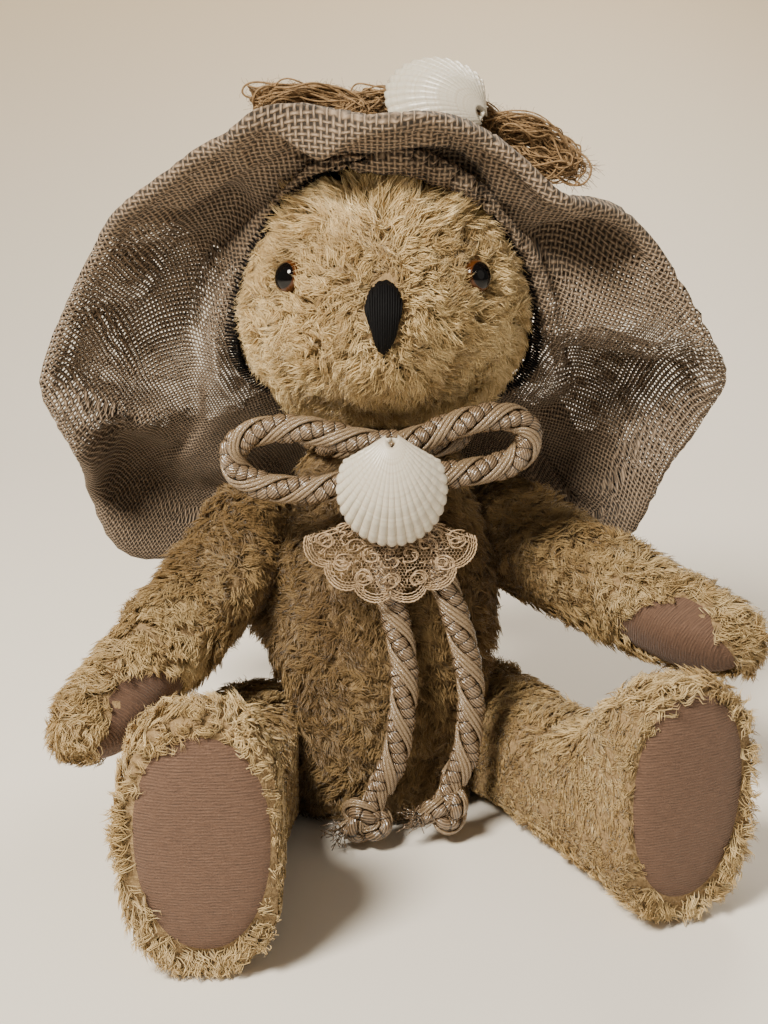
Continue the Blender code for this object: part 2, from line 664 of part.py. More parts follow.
def make_hat(anchor):
    back = anchor.matrix_world.inverted()
    opening = smooth_loop(HAT_OPENING, HAT_STEPS)
    edge = smooth_loop(HAT_EDGE, HAT_STEPS)
    middle = opening.mean(axis=0)
    over = Vector(HAT_OPENING[0]) - Vector(HAT_OPENING[len(HAT_OPENING) // 2])
    behind = np.array(Vector((1, 0, 0)).cross(over).normalized())
    behind = behind if behind[1] > 0 else -behind

    ways = edge - opening
    starts = opening + ways / np.linalg.norm(ways, axis=1)[:, None] * HAT_SEAM_CLEAR
    rows = []
    for share in np.linspace(0, 1, HAT_ROWS):
        rows.append(starts + (edge - starts) * share + behind * HAT_DISH * 4 * share * (1 - share))
    brim = add("hat_brim", grid_of("hat_brim", rows, wrap=True), "linen", anchor, back)
    thicken(brim, HAT_BRIM_THICK, 0)

    rows = []
    lip = HAT_SEAM_CLEAR / HAT_CROWN_DEEP
    for angle in np.linspace(0, math.radians(82), 6):
        height = HAT_CROWN_DEEP * (lip + (1 - lip) * math.sin(angle))
        rows.append(middle + (opening - middle) * math.cos(angle) ** HAT_CROWN_FULL + behind * height)
    crown = add("hat_crown", crown_mesh(rows), "linen", anchor, back)
    thicken(crown, HAT_CROWN_THICK, 0)

    around = []
    for index, point in enumerate(opening):
        along = opening[(index + 1) % HAT_STEPS] - opening[index - 1]
        along /= np.linalg.norm(along)
        out = point - middle
        out -= along * out.dot(along)
        out /= np.linalg.norm(out)
        third = np.cross(along, out)
        around.append([
            tuple(point + HAT_SEAM_RADIUS * (out * math.cos(a) + third * math.sin(a)))
            for a in np.linspace(0, 2 * math.pi, 6)[:-1]
        ])
    seam = tube_of_rings("hat_seam", [*around, around[0]], closed_ends=False)
    work = bmesh.new()
    work.from_mesh(seam)
    bmesh.ops.remove_doubles(work, verts=work.verts, dist=1e-4)
    bmesh.ops.recalc_face_normals(work, faces=work.faces)
    work.to_mesh(seam)
    work.free()
    add("hat_seam", seam, "thread", anchor, back)

    frame = Matrix.Rotation(math.radians(-HAT_SHELL_LEAN), 4, "X") @ Matrix.Rotation(
        math.radians(HAT_SHELL_TURN), 4, "Y")
    frame.translation = Vector(HAT_SHELL_TOP) * MM
    shell = add("hat_shell", shell_mesh("hat_shell", HAT_SHELL_LONG), "shell", anchor, back @ frame)
    thicken(shell, SHELL_THICK, -1)
    jute = None
    for index, (middle_point, half) in enumerate(JUTE_LOBES):
        lobe = ball("jute_bow" if jute is None else f"cut_jute_lobe_{index}", middle_point, half, "jute")
        if jute is None:
            jute = lobe
            continue
        PARTS.objects.unlink(lobe)
        CUTTERS.objects.link(lobe)
        lobe.hide_render = True
        lobe.display_type = "WIRE"
        boolean(jute, lobe, "UNION")
    jute.parent = anchor
    jute.matrix_parent_inverse = back


def crown_mesh(rows):
    """The rows close to a middle point at the back of the crown."""
    count = len(rows[0])
    points = [tuple(point) for row in rows for point in row]
    points.append(tuple(np.mean(rows[-1], axis=0)))
    faces = [
        (r * count + s, r * count + (s + 1) % count, (r + 1) * count + (s + 1) % count, (r + 1) * count + s)
        for r in range(len(rows) - 1) for s in range(count)
    ]
    last = (len(rows) - 1) * count
    faces += [(last + s, last + (s + 1) % count, len(points) - 1) for s in range(count)]
    return mesh_of("crown", points, faces)


def make_neck():
    bpy.ops.mesh.primitive_torus_add(
        major_radius=COLLAR_RADIUS * MM, minor_radius=CORD_RADIUS * MM, major_segments=24, minor_segments=8,
        location=(0, 0, COLLAR_Z * MM))
    collar = bpy.context.object
    collar.name = "neck_cord"
    collar.data.materials.append(MATERIALS["cord"])
    for held in list(collar.users_collection):
        held.objects.unlink(collar)
    PARTS.objects.link(collar)
    cord_tube("bow_loops", BOW_ROUTE, 32)
    ball("bow_knot", BOW_KNOT, BOW_KNOT_HALF, "cord")
    for side in ("left", "right"):
        cord_tube(side + "_tail", TAIL_ROUTES[side], 12)
        ball(side + "_tail_knot", TAIL_KNOTS[side], TAIL_KNOT_HALF[side], "cord")
    frame = Matrix.Translation(Vector(NECK_SHELL_TOP) * MM)
    shell = add("neck_shell", shell_mesh("neck_shell", NECK_SHELL_LONG), "shell", None, frame)
    thicken(shell, SHELL_THICK, -1)
    frame = Matrix.Translation(Vector(LACE_TOP) * MM) @ Matrix.Rotation(math.radians(-LACE_TILT), 4, "X")
    lace = add("lace_fan", lace_mesh("lace_fan"), "lace", None, frame)
    thicken(lace, LACE_THICK, 0)


def make_bear():
    torso = empty("torso", Matrix())
    cutters = {}
    frames = {}
    for joint in JOINTS:
        kind = joint.split("_")[-1]
        frames[joint] = stack_frame_of(joint)
        cutters[joint] = joint_cutters(joint, kind, frames[joint])
    body_skin, body_stuffing = make_torso()
    for joint in JOINTS:
        boolean(body_skin, cutters[joint]["hole"])
        boolean(body_stuffing, cutters[joint]["body"])
    anchors = {"neck": make_head(cutters["neck"])}
    for side in ("left", "right"):
        anchors[side + "_shoulder"] = make_arm(side, cutters[side + "_shoulder"])
        anchors[side + "_hip"] = make_leg(side, cutters[side + "_hip"])
    bpy.context.view_layer.update()
    for joint, anchor in anchors.items():
        disc_joint(joint, joint.split("_")[-1], frames[joint], anchor, torso)
    make_hat(anchors["neck"])
    make_neck()


make_bear()
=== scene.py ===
import math

import bpy
import numpy as np
from mathutils import Matrix, Vector


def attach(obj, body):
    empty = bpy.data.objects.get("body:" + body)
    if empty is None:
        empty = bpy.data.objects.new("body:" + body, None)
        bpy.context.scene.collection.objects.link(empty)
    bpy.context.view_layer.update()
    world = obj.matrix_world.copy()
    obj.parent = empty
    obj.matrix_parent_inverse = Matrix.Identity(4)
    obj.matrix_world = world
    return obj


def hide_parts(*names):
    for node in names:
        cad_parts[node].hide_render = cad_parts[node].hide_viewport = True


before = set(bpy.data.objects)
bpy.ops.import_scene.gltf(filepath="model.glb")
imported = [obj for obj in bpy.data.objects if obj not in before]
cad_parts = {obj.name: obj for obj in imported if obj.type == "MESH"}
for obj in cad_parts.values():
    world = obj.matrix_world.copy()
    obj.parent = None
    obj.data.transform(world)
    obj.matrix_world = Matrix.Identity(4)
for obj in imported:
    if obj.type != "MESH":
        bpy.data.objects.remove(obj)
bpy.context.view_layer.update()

MM = 0.001
TAU = 2 * math.pi
THIRDS = (0.0, TAU / 3, 2 * TAU / 3)
SIDES = ("left", "right")


# ---- camera and lights
def add_camera():
    data = bpy.data.cameras.new("camera")
    data.lens = 52.73
    data.clip_start = 0.01
    camera = bpy.data.objects.new("camera", data)
    bpy.context.scene.collection.objects.link(camera)
    camera.location = (0, -0.50, 0.23)
    camera.rotation_euler = (math.radians(75), 0, 0)
    bpy.context.scene.camera = camera


def add_light(name, place, target, size, power, colour):
    data = bpy.data.lights.new(name, "AREA")
    data.shape = "DISK"
    data.size = size
    data.energy = power
    data.color = colour
    lamp = bpy.data.objects.new(name, data)
    bpy.context.scene.collection.objects.link(lamp)
    lamp.location = place
    lamp.rotation_euler = (Vector(target) - Vector(place)).to_track_quat("-Z", "Y").to_euler()


# ---- node materials
class Wire:
    """An output socket: arithmetic on it adds math nodes."""

    def __init__(self, nodes, socket):
        self.nodes, self.socket = nodes, socket

    def __add__(self, other):
        return self.nodes.math("ADD", self, other)

    def __sub__(self, other):
        return self.nodes.math("SUBTRACT", self, other)

    def __rsub__(self, other):
        return self.nodes.math("SUBTRACT", other, self)

    def __mul__(self, other):
        return self.nodes.math("MULTIPLY", self, other)

    def __truediv__(self, other):
        return self.nodes.math("DIVIDE", self, other)

    def __pow__(self, other):
        return self.nodes.math("POWER", self, other)

    def line(self, slope, start):
        return self.nodes.math("MULTIPLY_ADD", self, slope, start)


class Nodes:
    """A material's node tree, with short ways to add to it. Each way gives a Wire."""

    def __init__(self, name, roughness, metallic=0.0):
        self.material = bpy.data.materials.new(name)
        self.material.use_nodes = True
        self.tree = self.material.node_tree
        self.shader = self.tree.nodes["Principled BSDF"]
        self.set("Roughness", roughness)
        self.set("Metallic", metallic)

    def node(self, kind, inputs=None, **settings):
        made = self.tree.nodes.new("ShaderNode" + kind)
        for key, value in settings.items():
            setattr(made, key, value)
        for key, value in (inputs or {}).items():
            self.feed(made.inputs[key], value)
        return made

    def feed(self, socket, value):
        if isinstance(value, Wire):
            self.tree.links.new(value.socket, socket)
        else:
            socket.default_value = value

    def math(self, operation, *values, clamp=False):
        """A number or a Wire for each value."""
        made = self.node("Math", dict(enumerate(values)), operation=operation, use_clamp=clamp)
        return Wire(self, made.outputs[0])

    def wave(self, phase):
        """A sine between 0 and 1."""
        return self.math("SINE", phase).line(0.5, 0.5)

    def noise(self, vector, scale, detail=3.0, out="Fac"):
        made = self.node("TexNoise", {"Vector": vector, "Scale": scale, "Detail": detail, "Roughness": 0.55})
        return Wire(self, made.outputs[out])

    def ramp(self, value, *stops):
        made = self.node("ValToRGB", {"Fac": value})
        elements = made.color_ramp.elements
        while len(elements) < len(stops):
            elements.new(0.5)
        for element, (at, colour) in zip(elements, stops):
            element.position = at
            element.color = (*colour, 1)
        return Wire(self, made.outputs["Color"])

    def mix(self, share, a, colour):
        """Share of a plain colour over a."""
        made = self.node("Mix", data_type="RGBA")
        for key, kind, value in (("Factor", "VALUE", share), ("A", "RGBA", a), ("B", "RGBA", (*colour, 1))):
            self.feed(next(s for s in made.inputs if s.name == key and s.type == kind), value)
        return Wire(self, next(s for s in made.outputs if s.type == "RGBA"))

    def place(self, kind="Object"):
        return Wire(self, self.node("TexCoord").outputs[kind])

    def split(self, vector):
        return [Wire(self, out) for out in self.node("SeparateXYZ", {"Vector": vector}).outputs]

    def join(self, x, y):
        return Wire(self, self.node("CombineXYZ", {"X": x, "Y": y}).outputs[0])

    def set(self, name, value):
        self.feed(self.shader.inputs[name], value)

    def bump(self, height, strength, distance):
        made = self.node("Bump", {"Height": height, "Strength": strength, "Distance": distance})
        self.set("Normal", Wire(self, made.outputs["Normal"]))


def fur_material():
    n = Nodes("plush_pile", 0.52)
    tint = Wire(n, n.node("Attribute", attribute_name="tint").outputs["Color"])
    broad = n.noise(n.place(), 60.0, 2.0)
    n.set("Base Color", n.mix(broad * 0.22, tint, (0.38, 0.245, 0.11)))
    n.set("Sheen Weight", 0.16)
    n.set("Sheen Roughness", 0.4)
    n.set("Specular IOR Level", 0.22)
    return n.material


def backing_material():
    n = Nodes("plush_backing", 0.9)
    fleck = n.noise(n.place(), 900.0)
    n.set("Base Color", n.ramp(fleck, (0.3, (0.20, 0.128, 0.058)), (0.7, (0.38, 0.26, 0.13))))
    n.bump(fleck, 0.7, 0.0012)
    return n.material


RIB_PITCH = 0.00088  # metres between the ribs of the pads' velour


def pad_material():
    """Ribbed velour: fine ribs across the pad, with lighter tips and broad shading."""
    n = Nodes("pad_velour", 0.78)
    uv = n.place("UV")
    across, up, _ = n.split(uv)
    rib = n.wave(up * (TAU / RIB_PITCH) + n.noise(uv, 190.0) * 9.0)
    streak = n.noise(n.join(across * 260.0, up * 2600.0), 1.0)
    fleck = n.noise(uv, 1700.0)
    height = rib * 0.28 + streak * 1.05
    base = n.ramp(height * 0.5 + fleck * 0.35, (0.28, (0.048, 0.024, 0.014)), (0.52, (0.122, 0.064, 0.038)),
                  (0.80, (0.225, 0.132, 0.083)))
    n.set("Base Color", n.mix(n.noise(uv, 60.0) * 0.30, base, (0.17, 0.095, 0.060)))
    n.set("Sheen Weight", 0.12)
    n.set("Sheen Roughness", 0.45)
    n.bump(height + fleck * 0.6, 0.8, 0.0006)
    return n.material


WEAVE_PITCH, WEAVE_WANDER = 0.0015, 0.0020  # metres between threads, and how far they stray
THREAD_WIDE, THREAD_VARIES = 0.084, 0.45  # a thread's half width in pitches: the least, and what slubs add


def weave(n, uv, open_share):
    """Height and cover of a plain weave. Threads are thinner where open_share is 1."""
    bend = n.node("VectorMath", operation="MULTIPLY_ADD")
    stray = n.noise(uv, 55.0, 2.0, "Color")
    for socket, value in zip(bend.inputs, (stray, (WEAVE_WANDER, WEAVE_WANDER, 0), uv)):
        n.feed(socket, value)
    u, v, _ = n.split(Wire(n, bend.outputs[0]))
    u, v = u / WEAVE_PITCH, v / WEAVE_PITCH
    slub_u = n.noise(n.join(n.math("FLOOR", u), v * 0.11), 1.7)
    slub_v = n.noise(n.join(u * 0.11, n.math("FLOOR", v)), 1.7)
    rounds, heights = [], []
    for own, other, slub, sign in ((u, v, slub_u, 1.0), (v, u, slub_v, -1.0)):
        off = n.math("ABSOLUTE", n.math("FRACT", own) - 0.5)
        width = slub.line(THREAD_VARIES, THREAD_WIDE) * n.math("MULTIPLY_ADD", open_share, -0.42, 1.0)
        rounds.append(1.0 - (off / width) ** 2.0)
        parity = n.math("COSINE", n.math("FLOOR", own) * math.pi)
        over = n.math("SINE", other * math.pi) * parity
        heights.append(n.math("MAXIMUM", rounds[-1], 0.0) * over.line(0.3 * sign, 0.62))
    return n.math("MAXIMUM", *heights), n.math("GREATER_THAN", n.math("MAXIMUM", *rounds), 0.0)


def shades(shade, *stops):
    return [(at, tuple(shade * c for c in colour)) for at, colour in stops]


def linen_material(name, open_spots, shade=1.0):
    """Plain weave. Light passes between the threads only near open_spots, where one layer lies alone."""
    n = Nodes(name, 0.88)
    open_share = 0.0
    for spot, reach in open_spots:
        away = n.node("VectorMath", {0: n.place(), 1: spot}, operation="DISTANCE")
        ragged = n.noise(n.place(), 30.0).line(0.9, -0.45)
        share = n.math("SUBTRACT", 1.5 - Wire(n, away.outputs["Value"]) / reach, ragged, clamp=True)
        open_share = n.math("MAXIMUM", open_share, share)
    uv = n.place("UV")
    height, cover = weave(n, uv, open_share)
    fibre = n.noise(uv, 2600.0, 2.0)
    # painted shade: the threads are darker where they round off and dip under the crossing ones, and the gaps
    # between them are painted nearly black
    tone = (height * 0.70 + fibre * 0.30) * cover.line(0.92, 0.08)
    if open_spots:
        # painted light: the single layer is painted lighter near open_spots, for light that shines through it
        tone = tone + open_share * 0.11
        n.set("Alpha", n.math("MAXIMUM", cover, n.math("LESS_THAN", open_share, 0.02)))
    thread = n.ramp(tone, *shades(shade, (0.06, (0.012, 0.008, 0.0045)), (0.30, (0.090, 0.060, 0.036)),
                                  (0.55, (0.245, 0.174, 0.114)), (0.88, (0.50, 0.375, 0.26))))
    stain = tuple(shade * c for c in (0.15, 0.11, 0.075))
    n.set("Base Color", n.mix(n.noise(uv, 28.0) * 0.22, thread, stain))
    n.bump(height + fibre * 0.3, 1.0, 0.0009)
    n.set("Sheen Weight", 0.05)
    return n.material


def cord_material(name, pale, deep, roughness, pitch=0.0011, wraps=None):
    """Satin yarn: fine slanting ply lines over a strand's UVs, in metres, and dark lines between wraps, which
    are painted shade in the grooves.
    """
    n = Nodes(name, roughness)
    uv = n.place("UV")
    across, along, _ = n.split(uv)
    ply = n.wave(across * (TAU / pitch) + along * (TAU / (pitch * 1.3)))
    fibre = n.noise(uv, 1800.0, 2.0)
    tone = ply * (0.45 if wraps else 0.18) + fibre * (0.5 if wraps else 0.75)
    if wraps:
        # painted shade: a dark line in the groove between each two wraps
        line = n.math("ABSOLUTE", n.math("SINE", along * (math.pi / wraps)))
        tone = tone * n.math("SMOOTH_MIN", line.line(3.4, 0.12), 1.0, 0.3)
    n.set("Base Color", n.ramp(tone, (0.12, deep), (0.78, pale)))
    n.bump(tone, 0.8, 0.0005)
    n.set("Specular IOR Level", 0.95)
    return n.material


def thread_material(name, colour, roughness, scale=1600.0, shine=0.5):
    n = Nodes(name, roughness)
    n.set("Specular IOR Level", shine)
    fibre = n.noise(n.place(), scale, 2.0)
    n.set("Base Color", n.ramp(fibre, *shades(0.45, (0.25, colour)), *shades(1.35, (0.75, colour))))
    n.bump(fibre, 0.5, 0.0003)
    return n.material


def shell_material():
    n = Nodes("scallop", 0.34)
    uv = n.place("UV")
    along = n.split(uv)[1]
    rings = n.noise(n.join(0.0, along + n.noise(uv, 6.0) * 0.03), 34.0)
    tint = n.ramp(rings, (0.30, (0.60, 0.51, 0.38)), (0.5, (0.70, 0.63, 0.51)), (0.75, (0.75, 0.70, 0.60)))
    grey = n.noise(n.place(), 420.0)
    n.set("Base Color", n.mix(grey * 0.22, tint, (0.52, 0.44, 0.34)))
    n.bump(rings + grey * 0.4, 0.35, 0.0004)
    n.set("Coat Weight", 0.25)
    n.set("Coat Roughness", 0.2)
    n.set("Subsurface Weight", 0.08)
    return n.material


def eye_material():
    """Amber ring round a black pupil, on the eye's own Z axis."""
    n = Nodes("bear_eye", 0.08)
    x, y, _ = n.split(n.place())
    off = n.math("SQRT", x**2.0 + y**2.0)
    n.set("Base Color", n.ramp(
        off / 0.0062, (0.0, (0.002, 0.002, 0.002)), (0.64, (0.003, 0.002, 0.002)),
        (0.70, (0.080, 0.026, 0.006)), (0.84, (0.050, 0.016, 0.004)), (0.92, (0.010, 0.006, 0.004))))
    n.set("Coat Weight", 0.25)
    n.set("Coat Roughness", 0.04)
    n.set("Specular IOR Level", 0.2)
    return n.material


def plain_material(name, low, high, roughness, scale, metallic=0.0):
    n = Nodes(name, roughness, metallic)
    grain = n.noise(n.place(), scale, 4.0)
    n.set("Base Color", n.ramp(grain, (0.3, low), (0.7, high)))
    n.bump(grain, 0.3, 0.0003)
    return n.material


PLAIT = 3.0  # mm between the wraps of a fat strand
OPEN_SPOTS = [((-0.080, 0.0, 0.150), 0.030), ((0.083, 0.0, 0.142), 0.030)]  # the brim's sides, with reach
M = {
    "fur": fur_material(), "backing": backing_material(), "pad": pad_material(),
    "linen": linen_material("linen_weave", OPEN_SPOTS),
    # painted shade: a copy of the linen 0.85 as dark, for the crown and the loose threads
    "linen_back": linen_material("linen_weave_back", [], 0.85),
    "cord": cord_material("satin_cord", (0.33, 0.225, 0.135), (0.012, 0.007, 0.0035), 0.20, wraps=PLAIT * MM),
    "gimp": cord_material("satin_gimp", (0.44, 0.315, 0.19), (0.050, 0.030, 0.015), 0.17, 0.0007),
    "jute": thread_material("jute_twine", (0.30, 0.185, 0.085), 0.8, 900.0),
    "black": thread_material("black_thread", (0.0022, 0.0020, 0.0025), 0.7, shine=0.15),
    "lace": thread_material("lace_thread", (0.50, 0.355, 0.215), 0.28),
    "shell": shell_material(), "eye": eye_material(),
    "board": plain_material("pressed_board", (0.16, 0.10, 0.05), (0.42, 0.28, 0.16), 0.85, 700.0),
    "steel": plain_material("zinc_steel", (0.42, 0.42, 0.43), (0.66, 0.66, 0.67), 0.34, 1200.0, 1.0),
    "stuffing": plain_material("fibre_fill", (0.70, 0.68, 0.62), (0.93, 0.92, 0.88), 0.95, 500.0),
}

# ---- meshes, drawn in millimetres
def mesh_piece(name, points, faces, material, body, uv=None, tint=None, node=None):
    """One piece, in the place of the solid that node names. faces is an array, or a list of arrays of faces
    with equal sides, and uv has a row for each face corner."""
    groups = faces if isinstance(faces, list) else [faces]
    groups = [np.asarray(group, np.int32) for group in groups if len(group)]
    points = np.asarray(points, np.float32).reshape(-1, 3) * MM
    mesh = bpy.data.meshes.new(name)
    mesh.vertices.add(len(points))
    mesh.vertices.foreach_set("co", points.ravel())
    corners = np.concatenate([group.ravel() for group in groups])
    sizes = np.concatenate([np.full(len(group), group.shape[1], np.int32) for group in groups])
    mesh.loops.add(len(corners))
    mesh.loops.foreach_set("vertex_index", corners)
    mesh.polygons.add(len(sizes))
    mesh.polygons.foreach_set("loop_start", np.concatenate([[0], np.cumsum(sizes)[:-1]]).astype(np.int32))
    mesh.update(calc_edges=True)
    mesh.validate()
    if uv is not None:
        layer = mesh.uv_layers.new(name="UVMap")
        layer.data.foreach_set("uv", np.asarray(uv, np.float32).ravel())
    if tint is not None:
        colour = mesh.color_attributes.new("tint", "FLOAT_COLOR", "POINT")
        rgba = np.ones((len(points), 4), np.float32)
        rgba[:, :3] = tint
        colour.data.foreach_set("color", rgba.ravel())
    mesh.materials.append(M[material])
    mesh.shade_smooth()
    piece = bpy.data.objects.new(name, mesh)
    bpy.context.scene.collection.objects.link(piece)
    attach(piece, body)
    if node:
        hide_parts(node)
    return piece


def turned(degrees, axis):
    return np.array(Matrix.Rotation(math.radians(degrees), 3, axis))


def unit(vectors):
    vectors = np.asarray(vectors, float)
    return vectors / np.maximum(np.linalg.norm(vectors, axis=-1, keepdims=True), 1e-9)


def grid_faces(rows, columns, wrap=False, wrap_rows=False, first=0):
    r = np.arange(rows if wrap_rows else rows - 1)[:, None]
    s = np.arange(columns if wrap else columns - 1)[None, :]
    after, above = (s + 1) % columns, (r + 1) % rows
    quads = np.stack(
        [r * columns + s, r * columns + after, above * columns + after, above * columns + s], axis=-1)
    return quads.reshape(-1, 4) + first


def grid_uv(rows, columns, wide, tall, wrap=False, wrap_rows=False):
    """Each quad's corner UVs, in metres, for grid_faces with the same arguments."""
    steps = columns if wrap else columns - 1
    r, s = np.indices((rows if wrap_rows else rows - 1, steps))
    us, vs = wide * MM / steps, tall * MM / max(1, rows - 1)
    corners = [(s, r), (s + 1, r), (s + 1, r + 1), (s, r + 1)]
    return np.stack([np.stack([a * us, b * vs], axis=-1) for a, b in corners], axis=-2).reshape(-1, 2)


def smooth_line(stations, steps, closed=False):
    """Points evenly along a Catmull-Rom curve through the stations."""
    base = np.array(stations, float)
    count = len(base)
    spans = count if closed else count - 1
    at = np.arange(steps) * spans / (steps if closed else steps - 1)
    span = np.minimum(at.astype(int), spans - 1)
    t = (at - span)[:, None]
    pick = [(span + k) % count if closed else np.clip(span + k, 0, count - 1) for k in (-1, 0, 1, 2)]
    p0, p1, p2, p3 = (base[index] for index in pick)
    square, cube = 2 * p0 - 5 * p1 + 4 * p2 - p3, 3 * p1 - p0 - 3 * p2 + p3
    return 0.5 * (2 * p1 + (p2 - p0) * t + square * t**2 + cube * t**3)


def line_frames(line, closed=False):
    """Two directions across a line at each point, turning as little as possible along it."""
    line = np.asarray(line, float)
    across_ends = np.roll(line, -1, axis=0) - np.roll(line, 1, axis=0)
    tangent = unit(across_ends if closed else np.gradient(line, axis=0))
    across = np.zeros_like(line)
    start = np.array((0.0, 0.0, 1.0)) if abs(tangent[0][2]) < 0.9 else np.array((1.0, 0.0, 0.0))
    current = unit(start - tangent[0] * start.dot(tangent[0]))
    for index, way in enumerate(tangent):
        current = unit(current - way * current.dot(way))
        across[index] = current
    return across, np.cross(tangent, across)


def length_of(line):
    return float(np.linalg.norm(np.diff(line, axis=0), axis=1).sum())


def fan(ring, middle):
    """Triangles from a closed ring of points to one point."""
    return np.stack([ring, np.roll(ring, -1), np.full(len(ring), middle)], axis=1)


class Build:
    """Gathers tubes and strips into one mesh."""

    def __init__(self):
        self.points, self.faces, self.uv, self.count = [], [], [], 0

    def tube(self, line, radius, sides=8, closed=False, taper=None, tall=None):
        line = np.asarray(line, float)
        a, b = line_frames(line, closed)
        radii = np.full(len(line), float(radius)) if taper is None else radius * np.asarray(taper, float)
        angles = np.arange(sides) * TAU / sides
        ring = a[:, None] * np.cos(angles)[None, :, None] + b[:, None] * np.sin(angles)[None, :, None]
        points = line[:, None] + ring * radii[:, None, None]
        self.add(points, wrap_rows=closed, wide=TAU * radius, tall=tall or length_of(line), caps=not closed)

    def add(self, points, wrap=True, wrap_rows=False, wide=1.0, tall=1.0, caps=False):
        rows, columns = points.shape[:2]
        faces = grid_faces(rows, columns, wrap, wrap_rows, self.count)
        self.points.append(points.reshape(-1, 3))
        self.faces.append(faces)
        self.uv.append(grid_uv(rows, columns, wide, tall, wrap, wrap_rows))
        if caps:
            for row, turn in ((0, -1), (rows - 1, 1)):
                middle = self.count + rows * columns + (row > 0)
                around = self.count + row * columns + np.arange(columns)
                self.faces.append(fan(around, middle)[:, ::turn])
                self.uv.append(np.zeros((3 * columns, 2)))
            self.points.append(points[[0, -1]].mean(axis=1))
        self.count = sum(len(block) for block in self.points)

    def strand(self, start, end, radius):
        """A straight three-sided thread."""
        way = unit(end - start)
        a = unit(np.cross(way, (0.3, 1.0, 0.2)))
        b = np.cross(way, a)
        ring = [radius * (a * math.cos(t) + b * math.sin(t)) for t in THIRDS]
        self.points.append(np.array([start + p for p in ring] + [end + p for p in ring]))
        self.faces.append(np.array([(0, 1, 4, 3), (1, 2, 5, 4), (2, 0, 3, 5)]) + self.count)
        self.uv.append(np.zeros((12, 2)))
        self.count += 6

    def piece(self, name, material, body, slot, node=None):
        order = sorted(range(len(self.faces)), key=lambda index: self.faces[index].shape[1])
        faces = [self.faces[index] for index in order]
        uv = np.concatenate([self.uv[index] for index in order])
        points = np.concatenate(self.points)
        return mesh_piece(name, points, faces, material, body, uv=uv, node=node)


# ---- the body's shapes, as the solids have them
TURN = turned(12.0, "Z")
BODY_PROFILE = [(0, 25), (1.5, 32), (8, 38), (22, 41.5), (42, 43), (60, 41.2), (76, 38), (90, 34.4),
                (103, 30), (114, 25), (123, 19.5)]
BODY_LEAN, LEAN_CURVE, NECK_Z, NECK_RADIUS, BODY_DEPTH = np.array((-6.0, -12.0, 0.0)), 1.3, 129.5, 15.5, 0.94
HEAD_CENTRE, HEAD_HALF, HEAD_PITCH = np.array((0.0, 0.0, 168.0)), np.array((43.5, 41.0, 40.5)), 6.0
MUZZLE_OUT, MUZZLE_WIDTH, MUZZLE_DROP, CHEEK_OUT = 13.5, 0.46, -0.16, 4.4
ARM_SECTIONS = [
    (-13, 10.0, 0, 6.0, 6.5), (-9, 12.0, 0, 12.0, 11.5), (-2, 13.5, 0, 14.5, 14.5), (12, 15.5, 0, 15.0, 15.2),
    (34, 20.0, 0, 14.4, 15.0), (56, 25.5, 0.4, 13.6, 14.2), (76, 30.0, 1.6, 12.8, 13.4),
    (92, 33.6, 3.4, 11.6, 12.2), (102, 35.8, 4.8, 8.8, 9.2), (108, 37.0, 5.8, 4.0, 4.2)]
LEG_SECTIONS = [
    (-19, 13.5, 0, 7.5, 8.0), (-15, 15.0, 0, 14.0, 14.0), (-6, 16.4, 0, 17.2, 17.4),
    (14, 17.2, 0, 17.8, 18.2), (38, 18.0, 0, 17.4, 18.0), (58, 18.8, 0.8, 17.2, 18.6),
    (75, 19.4, 5.6, 18.0, 22.6), (89, 19.8, 13.8, 20.6, 31.0), (102, 20.2, 17.6, 22.2, 34.8),
    (112, 20.4, 18.2, 21.8, 34.4)]
SECTION_POWER, PRESSED_OUT, PRESSED_REACH, GAP = 2.5, 9.0, 26.0, 0.55
ARM_FLAT, LEG_FLAT = (15.5, 0.10), (22.0, 0.12)  # the body's flat under a limb: radius, and slope round it
SHOULDER = (30.2, 85.0, 16.0, 0.0, 20.0)  # radius, height, degrees back, ahead, tilt
HIP = (26.5, 20.4, 12.0, 15.0, 0.0)
DROP = {"left_arm": 27.0, "right_arm": 38.0, "left_leg": 0.0, "right_leg": 0.0}
SOLE_HALF = (19.4, 32.8)
SOLE_LIFT = 1.8
RIGHT_FOOT_TALL = 1.07  # the right foot's plush stands this much taller
PAW_PAD = (89.0, 18.5, 11.5, 4.6)  # middle along, half length, half width, middle up
LIMBS = ("left_arm", "left_leg", "right_arm", "right_leg")


def side_of(name):
    return 1 if name.startswith("left") else -1


def lean_at(height):
    return BODY_LEAN * np.clip(1 - np.asarray(height, float) / NECK_Z, 0, None)[..., None] ** LEAN_CURVE


def joint_of(name):
    """(place, axis) of a limb's joint."""
    radius, height, back, ahead, tilt = SHOULDER if name.endswith("arm") else HIP
    back, tilt, side = math.radians(back), math.radians(tilt), side_of(name)
    place = TURN @ (side * radius * math.cos(back), radius * math.sin(back) - ahead, 0)
    axis = TURN @ (side * math.cos(tilt) * math.cos(back), math.cos(tilt) * math.sin(back), math.sin(tilt))
    return place + lean_at(height) + np.array((0, 0, height)), axis


def limb_matrix(name):
    """The limb's frame as (place, 3 rows: along, to the bear's left, up)."""
    place, axis = joint_of(name)
    forward = TURN @ (0, -1, 0)
    forward = Vector(unit(forward - axis * forward.dot(axis)))
    across = Vector(axis * side_of(name))
    turns = [Matrix.Rotation(math.radians(way * DROP[name]), 3, across) @ forward for way in (1, -1)]
    along = min(turns, key=lambda way: way.z)
    up = along.cross(across)
    y_way = Vector(up).cross(along).normalized()
    return place, np.array([along, y_way, along.cross(y_way)])


